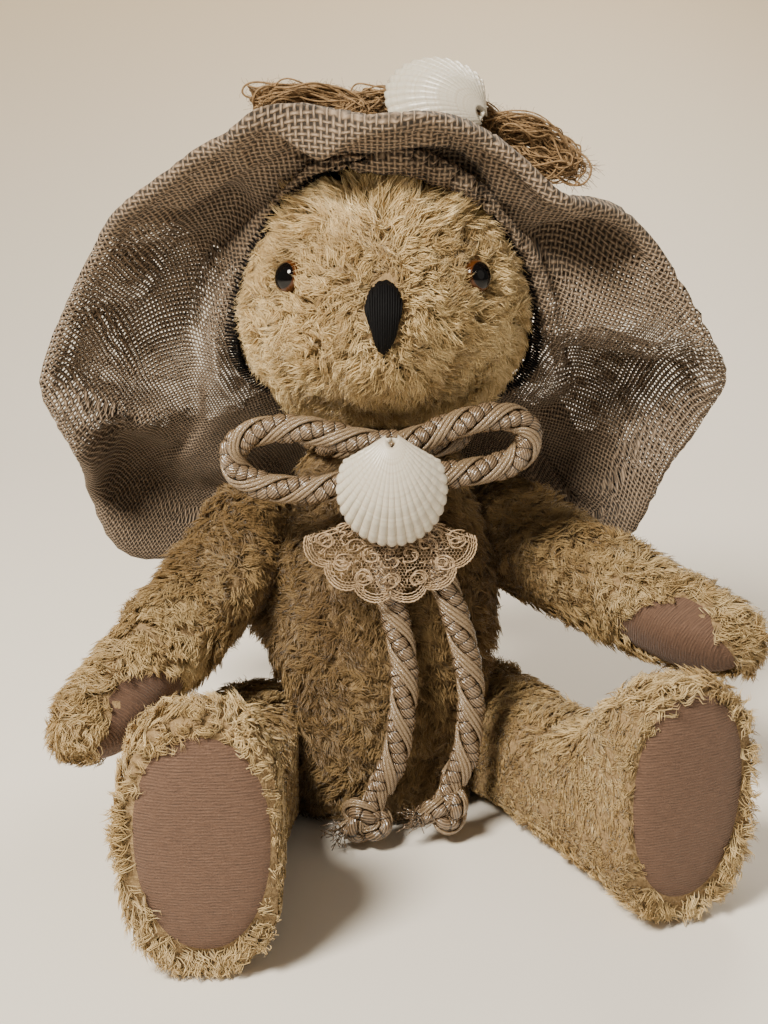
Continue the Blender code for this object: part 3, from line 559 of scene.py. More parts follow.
def limb_surface(name, rows, columns):
    """The limb's outer surface in its own frame, from the back end to the tip."""
    sections = ARM_SECTIONS if name.endswith("arm") else LEG_SECTIONS
    stations = smooth_line(sections, rows)
    if name == "right_leg":
        grown = np.clip(stations[:, :1] / 70 - 0.4, 0, 1)
        stations[:, 2:] *= np.array((RIGHT_FOOT_TALL, 1.0, RIGHT_FOOT_TALL)) ** grown
    angle = np.arange(columns) * TAU / columns
    cosine, sine = np.cos(angle), np.sin(angle)
    rings = []
    for along, out, up, half_out, half_up in stations:
        fuller = PRESSED_OUT * math.exp(-((along / PRESSED_REACH) ** 2))
        wide = half_out + np.where(cosine < 0, fuller, 0)
        outwards = out + wide * np.sign(cosine) * np.abs(cosine) ** (2 / SECTION_POWER)
        height = up + half_up * np.sign(sine) * np.abs(sine) ** (2 / SECTION_POWER)
        outwards = side_of(name) * np.maximum(outwards, GAP)
        rings.append(np.stack([np.full(columns, along), outwards, height], axis=-1))
    return np.array(rings)


def body_surface(rows, columns):
    profile = [(r, 0, z) for z, r in BODY_PROFILE] + [(NECK_RADIUS, 0, NECK_Z - GAP)]
    stations = smooth_line(profile, rows)
    angle = np.arange(columns) * TAU / columns
    rings = []
    for radius, _, height in stations:
        height = min(max(height, 0.0), NECK_Z - GAP)
        ring = np.stack(
            [radius * np.cos(angle), BODY_DEPTH * radius * np.sin(angle), np.full(columns, height)], axis=-1)
        ring = ring @ TURN.T + lean_at(height)
        for name in LIMBS:
            place, axis = joint_of(name)
            reach, slope = ARM_FLAT if name.endswith("arm") else LEG_FLAT
            away = ring - place
            along = away @ axis
            beyond = np.maximum(0, np.linalg.norm(away - along[:, None] * axis, axis=1) - reach)
            over = along + GAP - slope * beyond * (1 + beyond / 4.0)
            ring = ring - np.maximum(over, 0)[:, None] * axis
        rings.append(ring)
    return np.array(rings)


FACE = turned(-HEAD_PITCH, "X")


def head_points(ways, lift=0.0):
    ways = unit(ways)
    round_reach = 1 / np.sqrt(((ways / HEAD_HALF) ** 2).sum(axis=-1))
    muzzle = unit((0, -1, MUZZLE_DROP))
    off = np.arccos(np.clip(ways @ muzzle, -1, 1))
    cheeks = np.maximum(0, -ways[..., 2]) * np.maximum(0, np.abs(ways[..., 0]) - 0.2)
    reach = round_reach + MUZZLE_OUT * np.exp(-((off / MUZZLE_WIDTH) ** 2)) + CHEEK_OUT * cheeks + lift
    return (ways * reach[..., None]) @ FACE.T + HEAD_CENTRE


def ball(rows, columns, first, last):
    """Ways out from a middle, in rings from the tilt first to the tilt last."""
    turns = np.arange(columns) * TAU / columns
    tilt, turn = np.meshgrid(np.linspace(first, last, rows), turns, indexing="ij")
    return np.stack([np.sin(tilt) * np.cos(turn), np.sin(tilt) * np.sin(turn), np.cos(tilt)], axis=-1)


def head_surface(rows, columns):
    points = head_points(ball(rows, columns, 0.02, math.pi - 0.02)[::-1])
    points[..., 2] = np.maximum(points[..., 2], NECK_Z + GAP)
    return points


def to_world(name, points):
    place, rows = limb_matrix(name)
    return np.asarray(points) @ rows + place


# ---- plush
LIGHT, MIDDLE, DARK = np.array([(0.86, 0.675, 0.37), (0.585, 0.42, 0.195), (0.31, 0.195, 0.075)])
BROWNING = np.array((1.0, 1.14, 1.34))  # where tone darkens the plush, partly its own darker colour and partly painted shade, it is also browner
MOST_STRANDS = 11500  # in one piece, so that no piece is too heavy
STRANDS = 6  # in a lock
STRAND_WIDE, STRAND_RINGS = 0.36, (0.9, 1.0, 0.72)  # in mm, and each three-sided ring's share of it
STRAND_POINTS = 3 * len(STRAND_RINGS) + 1
STEPS = (0.0, 0.38, 0.72, 1.0)  # where a strand's rings and tip lie along it
SHADE = np.array((0.58,) * 3 + (0.86,) * 3 + (1.02,) * 3 + (1.10,))  # painted shade: a strand is darker at its root, where the pile shades it, and lighter at its tip
LOWEST = 0.15  # mm above the floor
CURL, CLOSING = 1.12, -0.50  # mm that a strand sways, and how much its lock closes up at the tip


def wander(points, seed, scale):
    """Smooth random values in -1..1 over space."""
    draw = np.random.default_rng(seed)
    total = np.zeros(len(points))
    for _ in range(5):
        way = draw.normal(size=3) / scale
        total += np.sin(points @ way + draw.uniform(0, TAU))
    return total / 2.6


def scatter(surface, count, wrap_ends, draw):
    """Random points on a wrapped grid surface, with their normals."""
    rows, columns = surface.shape[:2]
    flat = surface.reshape(-1, 3)
    quads = grid_faces(rows, columns, wrap=True)
    triangles = np.concatenate([quads[:, [0, 1, 2]], quads[:, [0, 2, 3]]])
    if wrap_ends:
        for row, order in ((0, (1, 0, 2)), (rows - 1, (0, 1, 2))):
            ring = row * columns + np.arange(columns)
            flat = np.vstack([flat, flat[ring].mean(axis=0)])
            triangles = np.concatenate([triangles, fan(ring, len(flat) - 1)[:, order]])
    corners = flat[triangles]
    face = np.cross(corners[:, 1] - corners[:, 0], corners[:, 2] - corners[:, 0])
    area = np.linalg.norm(face, axis=1)
    normals = np.zeros_like(flat)
    for corner in range(3):
        np.add.at(normals, triangles[:, corner], face)
    normals = unit(normals)
    pick = draw.choice(len(triangles), count, p=area / area.sum())
    a, b = draw.random(count), draw.random(count)
    a, b = np.where(a + b > 1, 1 - a, a), np.where(a + b > 1, 1 - b, b)
    share = np.stack([1 - a - b, a, b], axis=1)
    points = (corners[pick] * share[..., None]).sum(axis=1)
    blended = unit((normals[triangles[pick]] * share[..., None]).sum(axis=1))
    return points, unit(blended + 0.5 * unit(face[pick]))


def pile(name, body, points, normals, comb, long, seed, tone, lie=1.25):
    """Locks of plush: each is a few tapered strands that lean along comb and close up towards the tip."""
    draw = np.random.default_rng(seed)
    count = len(points)
    comb = comb + 1.05 * np.stack([wander(points, seed + k, 4.2) for k in range(3)], axis=1)
    comb = comb + 0.35 * draw.normal(size=comb.shape)
    comb = unit(comb - normals * (comb * normals).sum(axis=1, keepdims=True))
    side = np.cross(normals, comb)
    lean = lie * (1 + 0.35 * wander(points, seed + 9, 4.0))[:, None]
    long = long * (0.78 + 0.4 * draw.random(count))
    mixed = 0.5 + 0.42 * wander(points, seed + 5, 7.0) + 0.30 * draw.normal(size=count)
    mixed = np.clip(mixed, 0, 1)[:, None]
    colour = DARK * (1 - mixed) ** 2 + 2 * MIDDLE * mixed * (1 - mixed) + LIGHT * mixed**2
    colour = 0.35 * MIDDLE + 0.65 * colour
    # painted shade: tone darkens each lock where the caller paints shade, and makes it browner there
    colour = colour * tone[:, None] ** BROWNING
    blocks, tints = [], []
    curl = draw.uniform(0, TAU, count)
    bend = draw.uniform(0.6, 1.5, count)
    for _ in range(STRANDS):
        spread = draw.normal(size=(count, 2)) * 0.75
        root = points + comb * spread[:, :1] + side * spread[:, 1:]
        phase = curl + draw.normal(size=count) * 0.5
        reach = long * (0.8 + 0.35 * draw.random(count))
        rows = []
        for t in STEPS:
            close = CLOSING * t * spread
            arch = np.sin(phase + 4.6 * t) - np.sin(phase)
            rise = reach[:, None] * (t - 0.30 * lean * t * t) / np.sqrt(1 + lean**2)
            run = reach[:, None] * lean * (0.55 * t + 0.45 * t * t) / np.sqrt(1 + lean**2)
            sway = close[:, 1:] + (CURL * bend * arch)[:, None]
            rows.append(root + normals * rise + comb * (run + close[:, :1]) + side * sway)
        line = np.stack(rows, axis=1)
        thick = STRAND_WIDE * (0.75 + 0.5 * draw.random(count))
        across = unit(np.cross(line[:, -1] - line[:, 0], normals))
        over = unit(np.cross(line[:, -1] - line[:, 0], across))
        rings = []
        for index, width in enumerate(STRAND_RINGS):
            for angle in THIRDS:
                ring = across * math.cos(angle) + over * math.sin(angle)
                rings.append(line[:, index] + ring * (thick * width * 0.5)[:, None])
        rings.append(line[:, 3])
        blocks.append(np.stack(rings, axis=1))
        own = colour * (0.91 + 0.18 * draw.random((count, 1)))
        tints.append(own[:, None, :] * SHADE[None, :, None])
    verts = np.stack(blocks, axis=1).reshape(-1, STRAND_POINTS, 3)
    verts[..., 2] = np.maximum(verts[..., 2], LOWEST)
    tints = np.stack(tints, axis=1).reshape(-1, STRAND_POINTS, 3)
    quads = np.array([(k * 3 + s, k * 3 + (s + 1) % 3, k * 3 + 3 + (s + 1) % 3, k * 3 + 3 + s)
                      for k in range(2) for s in range(3)])
    tips = np.array([(6 + s, 6 + (s + 1) % 3, 9) for s in range(3)])
    for part, start in enumerate(range(0, len(verts), MOST_STRANDS)):
        block, hue = verts[start:start + MOST_STRANDS], tints[start:start + MOST_STRANDS]
        first = (np.arange(len(block)) * STRAND_POINTS)[:, None, None]
        faces = [(tips[None] + first).reshape(-1, 3), (quads[None] + first).reshape(-1, 4)]
        mesh_piece(f"{name}_{part + 1}", block, faces, "fur", body, tint=hue.reshape(-1, 3))


def backing(name, body, surface, node):
    """The plush's cloth under the pile."""
    build = Build()
    build.add(surface, wide=100, tall=100, caps=True)
    build.piece(name, "backing", body, "plush", node)


def near(points, line, within):
    """How far points are from a line's own points, as a share of within, up to 1."""
    best = np.full(len(points), 1e9)
    for point in np.asarray(line):
        best = np.minimum(best, ((points - point) ** 2).sum(axis=1))
    return np.clip(np.sqrt(best) / within, 0, 1)


# ---- neck cord, its bow and its tails
CORD_RADIUS, COLLAR_RADIUS, COLLAR_Z = 4.8, 25.6, 124.3
BOW_ROUTE = [
    (-9, -45, 118), (-22, -44, 115), (-38, -41, 115.5), (-46.5, -38.5, 120), (-47, -38, 127),
    (-40, -39.5, 132.5), (-26, -42, 134), (-10, -44.5, 131), (0, -46, 130), (10, -44.5, 131), (24, -42, 136),
    (36, -39, 137.5), (43.5, -37, 135), (45.5, -36.5, 128.5), (40, -38, 122.5), (26, -41.5, 120),
    (11, -44.5, 119)]
BOW_KNOT, BOW_KNOT_THICK, BOW_KNOT_WRAP = (4, -44, 117.5), 3.2, (1.2, 4.4, 7.6)  # its wrap's half sizes
TAIL_ROUTES = {
    "right": [(0, -43.5, 106), (0.3, -45.5, 96), (1.5, -48.5, 83), (5, -52, 69), (6.5, -55, 56),
              (5.5, -56.5, 42), (3.5, -57, 30), (-1, -57.5, 20)],
    "left": [(12, -43, 107), (14.5, -45, 98), (18.5, -48.5, 87), (24, -51, 71), (27.5, -53, 54),
             (27.5, -54, 40), (26, -54, 29), (22.5, -54.5, 21.5)]}
TAIL_KNOTS = {  # middle, turn about Y in radians, the way the frayed stub points, seed
    "right": ((-6, -60.5, 9.6), 0.5, (-3.0, -1.0, -1.0), 31),
    "left": ((20, -56.5, 11.6), -0.6, (-3.5, -1.5, -0.5), 32)}
KNOT_STRETCH = np.array((1.95, 1.55, 1.6))
KNOT_THICK, LEAD_THICK, STUB_THICK = 3.6, 4.2, 3.0  # the cord's radius where it is pulled tight
FRAYS, FRAY_THICK = 46, 0.16  # threads at each cut end, and their radius
CORD_TWIST, CORD_STEP = 33.0, 0.45  # mm for one turn of a strand, and between a cord's points
STRAND_OUT, STRAND_THICK, GIMP_OUT = 0.45, 0.54, 0.84  # shares of the cord's radius
GIMP_THREADS = ((-0.40, 0.125), (0.0, 0.165), (0.40, 0.125))  # place in the groove, share of the radius


def evenly(line, step, closed):
    """The line again, with points about step apart, and how far along each is."""
    line = np.asarray(line, float)
    ends = np.vstack([line, line[:1]]) if closed else line
    far = np.concatenate([[0], np.cumsum(np.linalg.norm(np.diff(ends, axis=0), axis=1))])
    count = max(6, int(far[-1] / step))
    at = np.arange(count) * far[-1] / (count if closed else count - 1)
    return np.stack([np.interp(at, far, ends[:, k]) for k in range(3)], axis=1), at


class Cord:
    """Cord of two colours: two fat wrapped strands, and a flat band of thin smooth threads in each groove."""

    def __init__(self):
        self.yarn, self.gimp = Build(), Build()

    def add(self, line, radius=CORD_RADIUS, closed=False):
        line, far = evenly(line, CORD_STEP, closed)
        a, b = line_frames(line, closed)
        turn = -TAU * far / CORD_TWIST
        if closed:
            turn = -TAU * np.arange(len(line)) / len(line) * max(1, round(far[-1] / CORD_TWIST))
        lump = 0.72 + 0.29 * np.abs(np.sin(math.pi * far / PLAIT)) ** 0.3

        def beside(angle, reach):
            return line + reach * (a * np.cos(angle)[:, None] + b * np.sin(angle)[:, None])

        for strand in (turn, turn + math.pi):
            path = beside(strand, radius * STRAND_OUT)
            self.yarn.tube(path, radius * STRAND_THICK, 10, closed, taper=lump, tall=far[-1])
            for shift, thick in GIMP_THREADS:
                groove = beside(strand + math.pi / 2 + shift, radius * (GIMP_OUT - thick * 0.25))
                self.gimp.tube(groove, radius * thick, 6, closed)
        return self

    def piece(self, name, node):
        """One mesh with both materials."""
        piece = self.yarn.piece(name, "cord", "torso", "cord")
        other = self.gimp.piece(name + "_gimp_part", "gimp", "torso", "cord")
        piece.data.materials.append(M["gimp"])
        both = [piece, other]
        with bpy.context.temp_override(active_object=piece, selected_editable_objects=both, object=piece):
            bpy.ops.object.join()
        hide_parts(node)
        return piece


def limp_cord(route, knot):
    route[0] * MM
    route * MM


def make_cords():
    bow = smooth_line(BOW_ROUTE, 120)
    bow_cord = Cord().add(bow).piece("bow_cord", "bow_loops")
    x, y, z = BOW_KNOT_WRAP
    wrap = [BOW_KNOT + np.array((x * math.sin(t), -1.0 - y * math.cos(t), z * math.sin(t)))
            for t in np.linspace(0.1, TAU - 0.1, 40)]
    bow_knot = Cord().add(wrap, BOW_KNOT_THICK).piece("bow_knot_cord", "bow_knot")
    limp_cord(bow, bow_knot)
    angle = np.arange(72) * TAU / 72
    ring = [COLLAR_RADIUS * np.cos(angle), COLLAR_RADIUS * np.sin(angle), np.full(72, COLLAR_Z)]
    Cord().add(np.stack(ring, axis=1), closed=True).piece("collar_cord", "neck_cord")
    for side in SIDES:
        route = smooth_line(TAIL_ROUTES[side], 60)
        tail = Cord().add(route).piece(side + "_tail_cord", side + "_tail")
        limp_cord(route, end_knot(side, route[-1]))


def end_knot(side, above):
    """An overhand knot: the cord crosses itself in three close loops and ends in a short frayed stub."""
    middle, spin, way, seed = TAIL_KNOTS[side]
    middle, way = np.array(middle, float), np.array(way)
    t = np.linspace(0, TAU, 73)[:-1]
    trefoil = [np.sin(t) + 2 * np.sin(2 * t), -np.sin(3 * t) * 1.5, np.cos(t) - 2 * np.cos(2 * t)]
    turn = np.array(Matrix.Rotation(spin, 3, "Y"))
    knot = Cord().add(np.stack(trefoil, axis=1) * KNOT_STRETCH @ turn.T + middle, KNOT_THICK, True)
    lead = [above + np.array((0, 0, 1.0)), (above + middle) / 2, middle + np.array((2.0, 0, 1.0))]
    knot.add(smooth_line(lead, 12), LEAD_THICK)
    stub = smooth_line([middle, middle + way * 1.4, middle + way * 2.5], 14)
    knot.add(stub, STUB_THICK)
    draw = np.random.default_rng(seed)
    for _ in range(FRAYS):
        start = stub[-1] + draw.normal(size=3) * 1.3
        bend = start + way * 0.35 + draw.normal(size=3) * 0.9
        end = bend + way * 0.45 + draw.normal(size=3) * 1.6
        fray = smooth_line([start, bend, end], 5)
        fray[:, 2] = np.maximum(fray[:, 2], 0.4)
        knot.yarn.tube(fray, FRAY_THICK, 4)
    for block in knot.yarn.points + knot.gimp.points:
        block[:, 2] = np.maximum(block[:, 2], 0.2)
    return knot.piece(side + "_end_knot", side + "_tail_knot")


# ---- hat
HAT_OPENING = [
    (2, -22, 217), (26, -17, 207.5), (42, -9, 185), (49, 1, 159), (46, 14, 142), (28, 29, 132),
    (0, 35, 130), (-28, 29, 132), (-46, 14, 142), (-49, 1, 159), (-42, -9, 184), (-26, -17, 206.5)]
HAT_EDGE = [  # further round than the solid's stations, with the dips and corners of the soft edge
    (2.3, -37, 226.6), (16.3, -36, 224), (31.1, -33, 216.9), (48.1, -28, 207.9), (66, -22, 197),
    (81.6, -15, 186.4), (94.7, -8, 173.2), (103.4, -4, 159.8), (109.7, 0, 145.9), (109.5, 3, 131.9),
    (104, 6, 119.3), (95.5, 9, 106.8), (84, 13, 94.2), (71.5, 22, 82.3), (55, 43, 83), (32, 64, 82),
    (2, 74, 80), (-34, 66, 80), (-66, 46, 79), (-95, 22, 78.2), (-101.5, 14, 89.3), (-100.9, 8, 103),
    (-101.4, 4, 121.4), (-107.4, 1, 131.6), (-110.9, 0, 140.9), (-106.1, -2, 154.5), (-99.9, -5, 166.4),
    (-90.1, -9, 184.3), (-82.3, -14, 197.1), (-71.9, -18, 206.4), (-55.4, -24, 217.6), (-45.7, -28, 224.6),
    (-37, -31, 230.2), (-27, -32, 228.5), (-17.2, -33, 226.5), (-7, -36, 226)]
AROUND, OUT = 288, 30  # the brim's points round the opening, and from it to the edge
BRIM_ROLL, CROWN_DEEP, CROWN_LIP = 3.0, 49.0, 2.2
LINEN_WIDE = 0.30, 0.24  # metres: the flat width of the brim's cloth and of the crown's
FOLDS = [  # bearing clockwise from the top and width in degrees, depth in mm, where along the brim, spread
    (-33, 8, -5.0, 0.9, 0.35), (-3, 11, -5.0, 0.75, 0.4), (22, 10, 3.0, 0.6, 0.35), (44, 10, -6.0, 0.8, 0.4),
    (64, 9, 7.0, 0.6, 0.4), (85, 11, -10.0, 0.62, 0.5), (109, 12, 12.0, 0.55, 0.45),
    (131, 10, -9.0, 0.85, 0.4), (-55, 26, -6.0, 0.88, 0.22), (-62, 10, 6.0, 0.35, 0.3),
    (-88, 24, 9.0, 0.5, 0.32), (-112, 9, -5.0, 0.75, 0.4), (-128, 7, 8.0, 0.95, 0.3),
    (-146, 10, -7.0, 0.8, 0.4), (150, 12, 6.0, 0.8, 0.4), (172, 12, -6.0, 0.8, 0.4)]
V_FOLD = (-18, 8.0, 10.0)  # bearing and width in degrees, and how far the front layer drops in mm
CLOTH = {"quality": 6, "mass": 0.25, "tension_stiffness": 12, "compression_stiffness": 12,
         "shear_stiffness": 4, "bending_stiffness": 1.6, "vertex_group_mass": "pins", "pin_stiffness": 2.0,
         "shrink_min": -0.035}
CLOTH_FRAMES, CLOTH_GRAVITY, CLOTH_SCALE = 16, 0.35, 10  # it is simulated this many times as large
MOST_MOVED = 7.0  # mm that the cloth may settle
SEAM_RADIUS, STITCH_RADIUS, STITCHES, STITCH_ROW = 0.65, 0.27, 430, 4  # the needle reaches this row
PULLED_THREADS = ((212, 7), (60, 3), (255, 4), (30, 3))  # place round the brim, of AROUND, and count
WEAVE_RADIUS, WEAVE_CENTRE = 262.0, -80.0  # the threads curve round a point this far off and this high, in mm
WEAVE_TILT = 0.45  # a place further back counts as lower by this share
GATHERS = 34  # small folds round the opening
BRIM_DISH, BRIM_DISH_VARIES = 13.0, 4.5  # mm that the brim bows back, and how much that varies round it
LAYERS_APART = 2.6, 2.6  # mm between the brim's layers at the opening, and what the edge has more
PUFFS, PUFF_SHARE = 23, 0.22  # round the brim's rolled edge, and how much they vary it
PLEATS, PLEAT_OUT, SLACK_FOLDS, SLACK_OUT = 40, 0.9, 9, 1.6  # round the crown, with their depths in mm


def hat_behind():
    """The way straight back through the hat's opening."""
    opening = np.array(HAT_OPENING, float)
    behind = unit(np.cross((1.0, 0, 0), opening[0] - opening[len(opening) // 2]))
    return behind if behind[1] > 0 else -behind


def matched_edge():
    """The opening, the edge's points beside the points that they hang from, and the bearing of each."""
    edge = smooth_line(HAT_EDGE, 960, closed=True)
    opening = smooth_line(HAT_OPENING, AROUND, closed=True)
    middle = opening.mean(axis=0)
    top = unit(opening[0] - middle)

    def bearing(points):
        away = points - middle
        way = np.unwrap(np.arctan2(away[:, 0], away @ top))
        return way - way[0]

    way, want = bearing(edge), bearing(opening)
    want = want / want[-1] * TAU * (AROUND - 1) / AROUND
    closed_way = np.append(way, way[0] + TAU)
    closed_edge = np.vstack([edge, edge[:1]])
    edge = np.stack([np.interp(want, closed_way, closed_edge[:, k]) for k in range(3)], axis=1)
    return opening, edge, want


def hump(off, wide):
    """A smooth rise to 1 where off is 0."""
    return np.exp(-((off / wide) ** 2))


def brim_front(behind):
    """The front layer as a grid from the opening out, how far it drops at its V-shaped fold, the opening."""
    opening, edge, bearing = matched_edge()

    def off(at):
        return ((np.degrees(bearing) - at + 180) % 360 - 180)[None, :]

    inwards = -unit(edge - opening)
    starts = opening - inwards * 0.3
    share = np.linspace(0, 1, OUT)[:, None] ** 1.25
    grid = starts[None] + (edge - starts)[None] * share[..., None]
    dish = BRIM_DISH + BRIM_DISH_VARIES * np.cos(bearing - math.radians(200))
    push = dish[None, :] * 4 * share * (1 - share) ** 0.8
    for at, wide, deep, along, spread in FOLDS:
        fold = hump(off(at), wide) * hump(share - along, spread)
        push = push + 1.75 * deep * fold * np.clip(share * 3, 0, 1)
    gathers = 0.7 * np.sin(bearing * GATHERS + 2.0 * np.sin(bearing * 5)) * np.exp(-share * 7.0)
    hood = 0.5 + 0.5 * np.cos(bearing - math.radians(35))
    tuck = (hump(share - 0.10, 0.085) - 0.25 * np.exp(-share * 60)) * hood[None, :]
    grid = grid + (push + gathers - 6.0 * tuck)[..., None] * behind - (1.5 * tuck)[..., None] * inwards[None]
    at, wide, deep = V_FOLD
    return grid, deep * hump(off(at), wide) * hump(1 - share, 0.30), opening


def settled(grid):
    """The brim's cloth let go for a moment: a little too large for its frame, it buckles and sags."""
    rows, columns = grid.shape[:2]
    mesh = bpy.data.meshes.new("hat_cloth")
    mesh.from_pydata([tuple(point * MM * CLOTH_SCALE) for point in grid.reshape(-1, 3)], [],
                     [tuple(face) for face in grid_faces(rows, columns, wrap=True).tolist()])
    cloth = bpy.data.objects.new("hat_cloth", mesh)
    bpy.context.scene.collection.objects.link(cloth)
    pins = cloth.vertex_groups.new(name="pins")
    for row in range(rows):
        hold = max(0.04, 1 - row / 5 if row < rows / 2 else (row - rows + 4) / 3)
        pins.add(list(range(row * columns, (row + 1) * columns)), hold, "REPLACE")
    modifier = cloth.modifiers.new("cloth", "CLOTH")
    for key, value in CLOTH.items():
        setattr(modifier.settings, key, value)
    modifier.settings.effector_weights.gravity = CLOTH_GRAVITY
    modifier.point_cache.frame_start, modifier.point_cache.frame_end = 1, CLOTH_FRAMES
    for step in range(CLOTH_FRAMES):
        bpy.context.scene.frame_set(step + 1)
    result = cloth.evaluated_get(bpy.context.evaluated_depsgraph_get()).to_mesh()
    points = np.empty(len(result.vertices) * 3, np.float32)
    result.vertices.foreach_get("co", points)
    bpy.context.scene.frame_set(1)
    bpy.data.objects.remove(cloth, do_unlink=True)
    moved = points.reshape(rows, columns, 3).astype(float) / (MM * CLOTH_SCALE) - grid
    far = np.linalg.norm(moved, axis=-1, keepdims=True)
    return grid + moved * np.minimum(1, MOST_MOVED / np.maximum(far, 1e-6))


def curved_uv(grid):
    """UVs in metres: the threads run round the hat and out from it, and the weave stays square."""
    flat = grid.reshape(-1, 3)
    x, z = flat[:, 0], flat[:, 2] - WEAVE_CENTRE - WEAVE_TILT * flat[:, 1]
    far = np.hypot(x, z)
    uv = np.stack([np.arctan2(x, z) * WEAVE_RADIUS, np.log(far / WEAVE_RADIUS) * WEAVE_RADIUS], axis=1) * MM
    return uv[grid_faces(*grid.shape[:2], wrap=True).ravel()]


def area_of(grid):
    """In square metres."""
    corners = (grid.reshape(-1, 3) * MM)[grid_faces(*grid.shape[:2], wrap=True)]
    faces = np.cross(corners[:, 2] - corners[:, 0], corners[:, 3] - corners[:, 1])
    return float(0.5 * np.linalg.norm(faces, axis=1).sum())


def thicken(piece, name, thickness, offset):
    solid = piece.modifiers.new(name, "SOLIDIFY")
    solid.thickness, solid.offset = thickness * MM, offset


def make_brim(front, drop, behind):
    """Two layers of cloth, with a puffed roll between them at the edge. Gives the front layer."""
    along = np.roll(front, -1, axis=1) - np.roll(front, 1, axis=1)
    normals = unit(np.cross(along, np.gradient(front, axis=0)))
    if (normals @ behind).mean() > 0:
        normals = -normals
    share = np.linspace(0, 1, OUT)[:, None, None]
    back = front - normals * (LAYERS_APART[0] + LAYERS_APART[1] * share**2)
    front = front - drop[..., None] * np.array((0, 0.35, 1.0))
    centre, reach = (front[-1] + back[-1]) / 2, (front[-1] - back[-1]) / 2
    outwards = unit(front[-1] - front[-3])
    bearing = np.arange(AROUND) * TAU / AROUND
    puff = (BRIM_ROLL * (1 + PUFF_SHARE * np.sin(bearing * PUFFS + 1.0)))[:, None]
    roll = [centre + reach * math.cos(angle) + outwards * math.sin(angle) * puff
            for angle in np.linspace(0, math.pi, 9)[1:-1]]
    brim = np.concatenate([front, roll, back[::-1]])
    piece = mesh_piece("hat_brim_cloth", brim, grid_faces(len(brim), AROUND, wrap=True), "linen", "head",
                       uv=curved_uv(brim), node="hat_brim")
    wide, area = LINEN_WIDE[0], 2 * area_of(front)
    return front


def make_crown(opening, behind):
    """The cap behind the opening, with pleats at its seam and slack folds further back."""
    middle = opening.mean(axis=0)
    lip = CROWN_LIP / CROWN_DEEP
    bearing = np.arange(AROUND) * TAU / AROUND
    rings = []
    for angle in np.linspace(0, math.radians(86), 26):
        height = CROWN_DEEP * (lip + (1 - lip) * math.sin(angle))
        pleat = PLEAT_OUT * math.cos(angle) ** 2 * np.sin(bearing * PLEATS + 1.7 * np.sin(bearing * 7))
        slack = SLACK_OUT * math.sin(2 * angle) * np.sin(bearing * SLACK_FOLDS + 2.0 * angle)
        ring = middle + (opening - middle) * math.cos(angle) ** 0.55
        rings.append(ring + behind * height + unit(ring - middle) * (pleat + slack)[:, None])
    crown = np.array(rings)
    rows = len(crown)
    points = np.vstack([crown.reshape(-1, 3), crown[-1].mean(axis=0)])
    tips = fan((rows - 1) * AROUND + np.arange(AROUND), rows * AROUND)
    tip_uv = points[tips.ravel()][:, [0, 2]] * MM
    far = np.append(0, np.cumsum(np.linalg.norm(np.diff(crown, axis=0), axis=2).mean(axis=1)))
    side_uv = grid_uv(rows, AROUND, TAU * 46, (rows - 1) / MM, wrap=True)
    side_uv[:, 1] = np.interp(side_uv[:, 1], np.arange(rows), far) * MM
    faces = [tips, grid_faces(rows, AROUND, wrap=True)]
    piece = mesh_piece("hat_crown_cloth", points, faces, "linen_back", "head",
                       uv=np.vstack([tip_uv, side_uv]), node="hat_crown")
    thicken(piece, "cloth", 0.7, 0)
    wide, area = LINEN_WIDE[1], area_of(crown)


def make_seam(opening, front, behind):
    """The overlocked edge: a bound rope of black thread, with needle stitches that zig-zag into the linen."""
    build = Build()
    build.tube(opening, SEAM_RADIUS, 8, closed=True)
    at = np.arange(STITCHES) * AROUND / STITCHES

    def spots(ring):
        ring = np.vstack([ring, ring[:1]])
        return np.stack([np.interp(at, np.arange(AROUND + 1), ring[:, k]) for k in range(3)], axis=1)

    lift = -behind * 0.9
    zigzag = []
    for index, (edge, inner) in enumerate(zip(spots(opening), spots(front[STITCH_ROW]))):
        if index % 2 == 0:
            zigzag += [edge + lift * 1.1, edge - unit(inner - edge) * 0.9]
        else:
            zigzag += [inner * 0.62 + edge * 0.38 + lift, inner * 0.7 + edge * 0.3 + lift]
    build.tube(zigzag, STITCH_RADIUS, 4, closed=True)
    build.piece("hat_overlock", "black", "head", "hat_thread", "hat_seam")


def loose_threads(front):
    """A few pulled threads at the brim's edge."""
    draw = np.random.default_rng(12)
    build = Build()
    for at, count in PULLED_THREADS:
        for _ in range(count):
            index = (at + draw.integers(-6, 7)) % AROUND
            line = [front[-1 - draw.integers(0, 3), index]]
            way = unit(front[-1, index] - front[-4, index]) + draw.normal(size=3) * 0.6
            for _ in range(4):
                way = unit(way + draw.normal(size=3) * 0.55)
                line.append(line[-1] + way * draw.uniform(1.2, 2.4))
            build.tube(smooth_line(line, 14), 0.17, 4)
    build.piece("hat_loose_threads", "linen_back", "head", "linen")


def make_hat():
    behind = hat_behind()
    front, drop, opening = brim_front(behind)
    front = settled(front)
    front = make_brim(front, drop, behind)
    make_crown(opening, behind)
    make_seam(opening, front, behind)
    loose_threads(front)


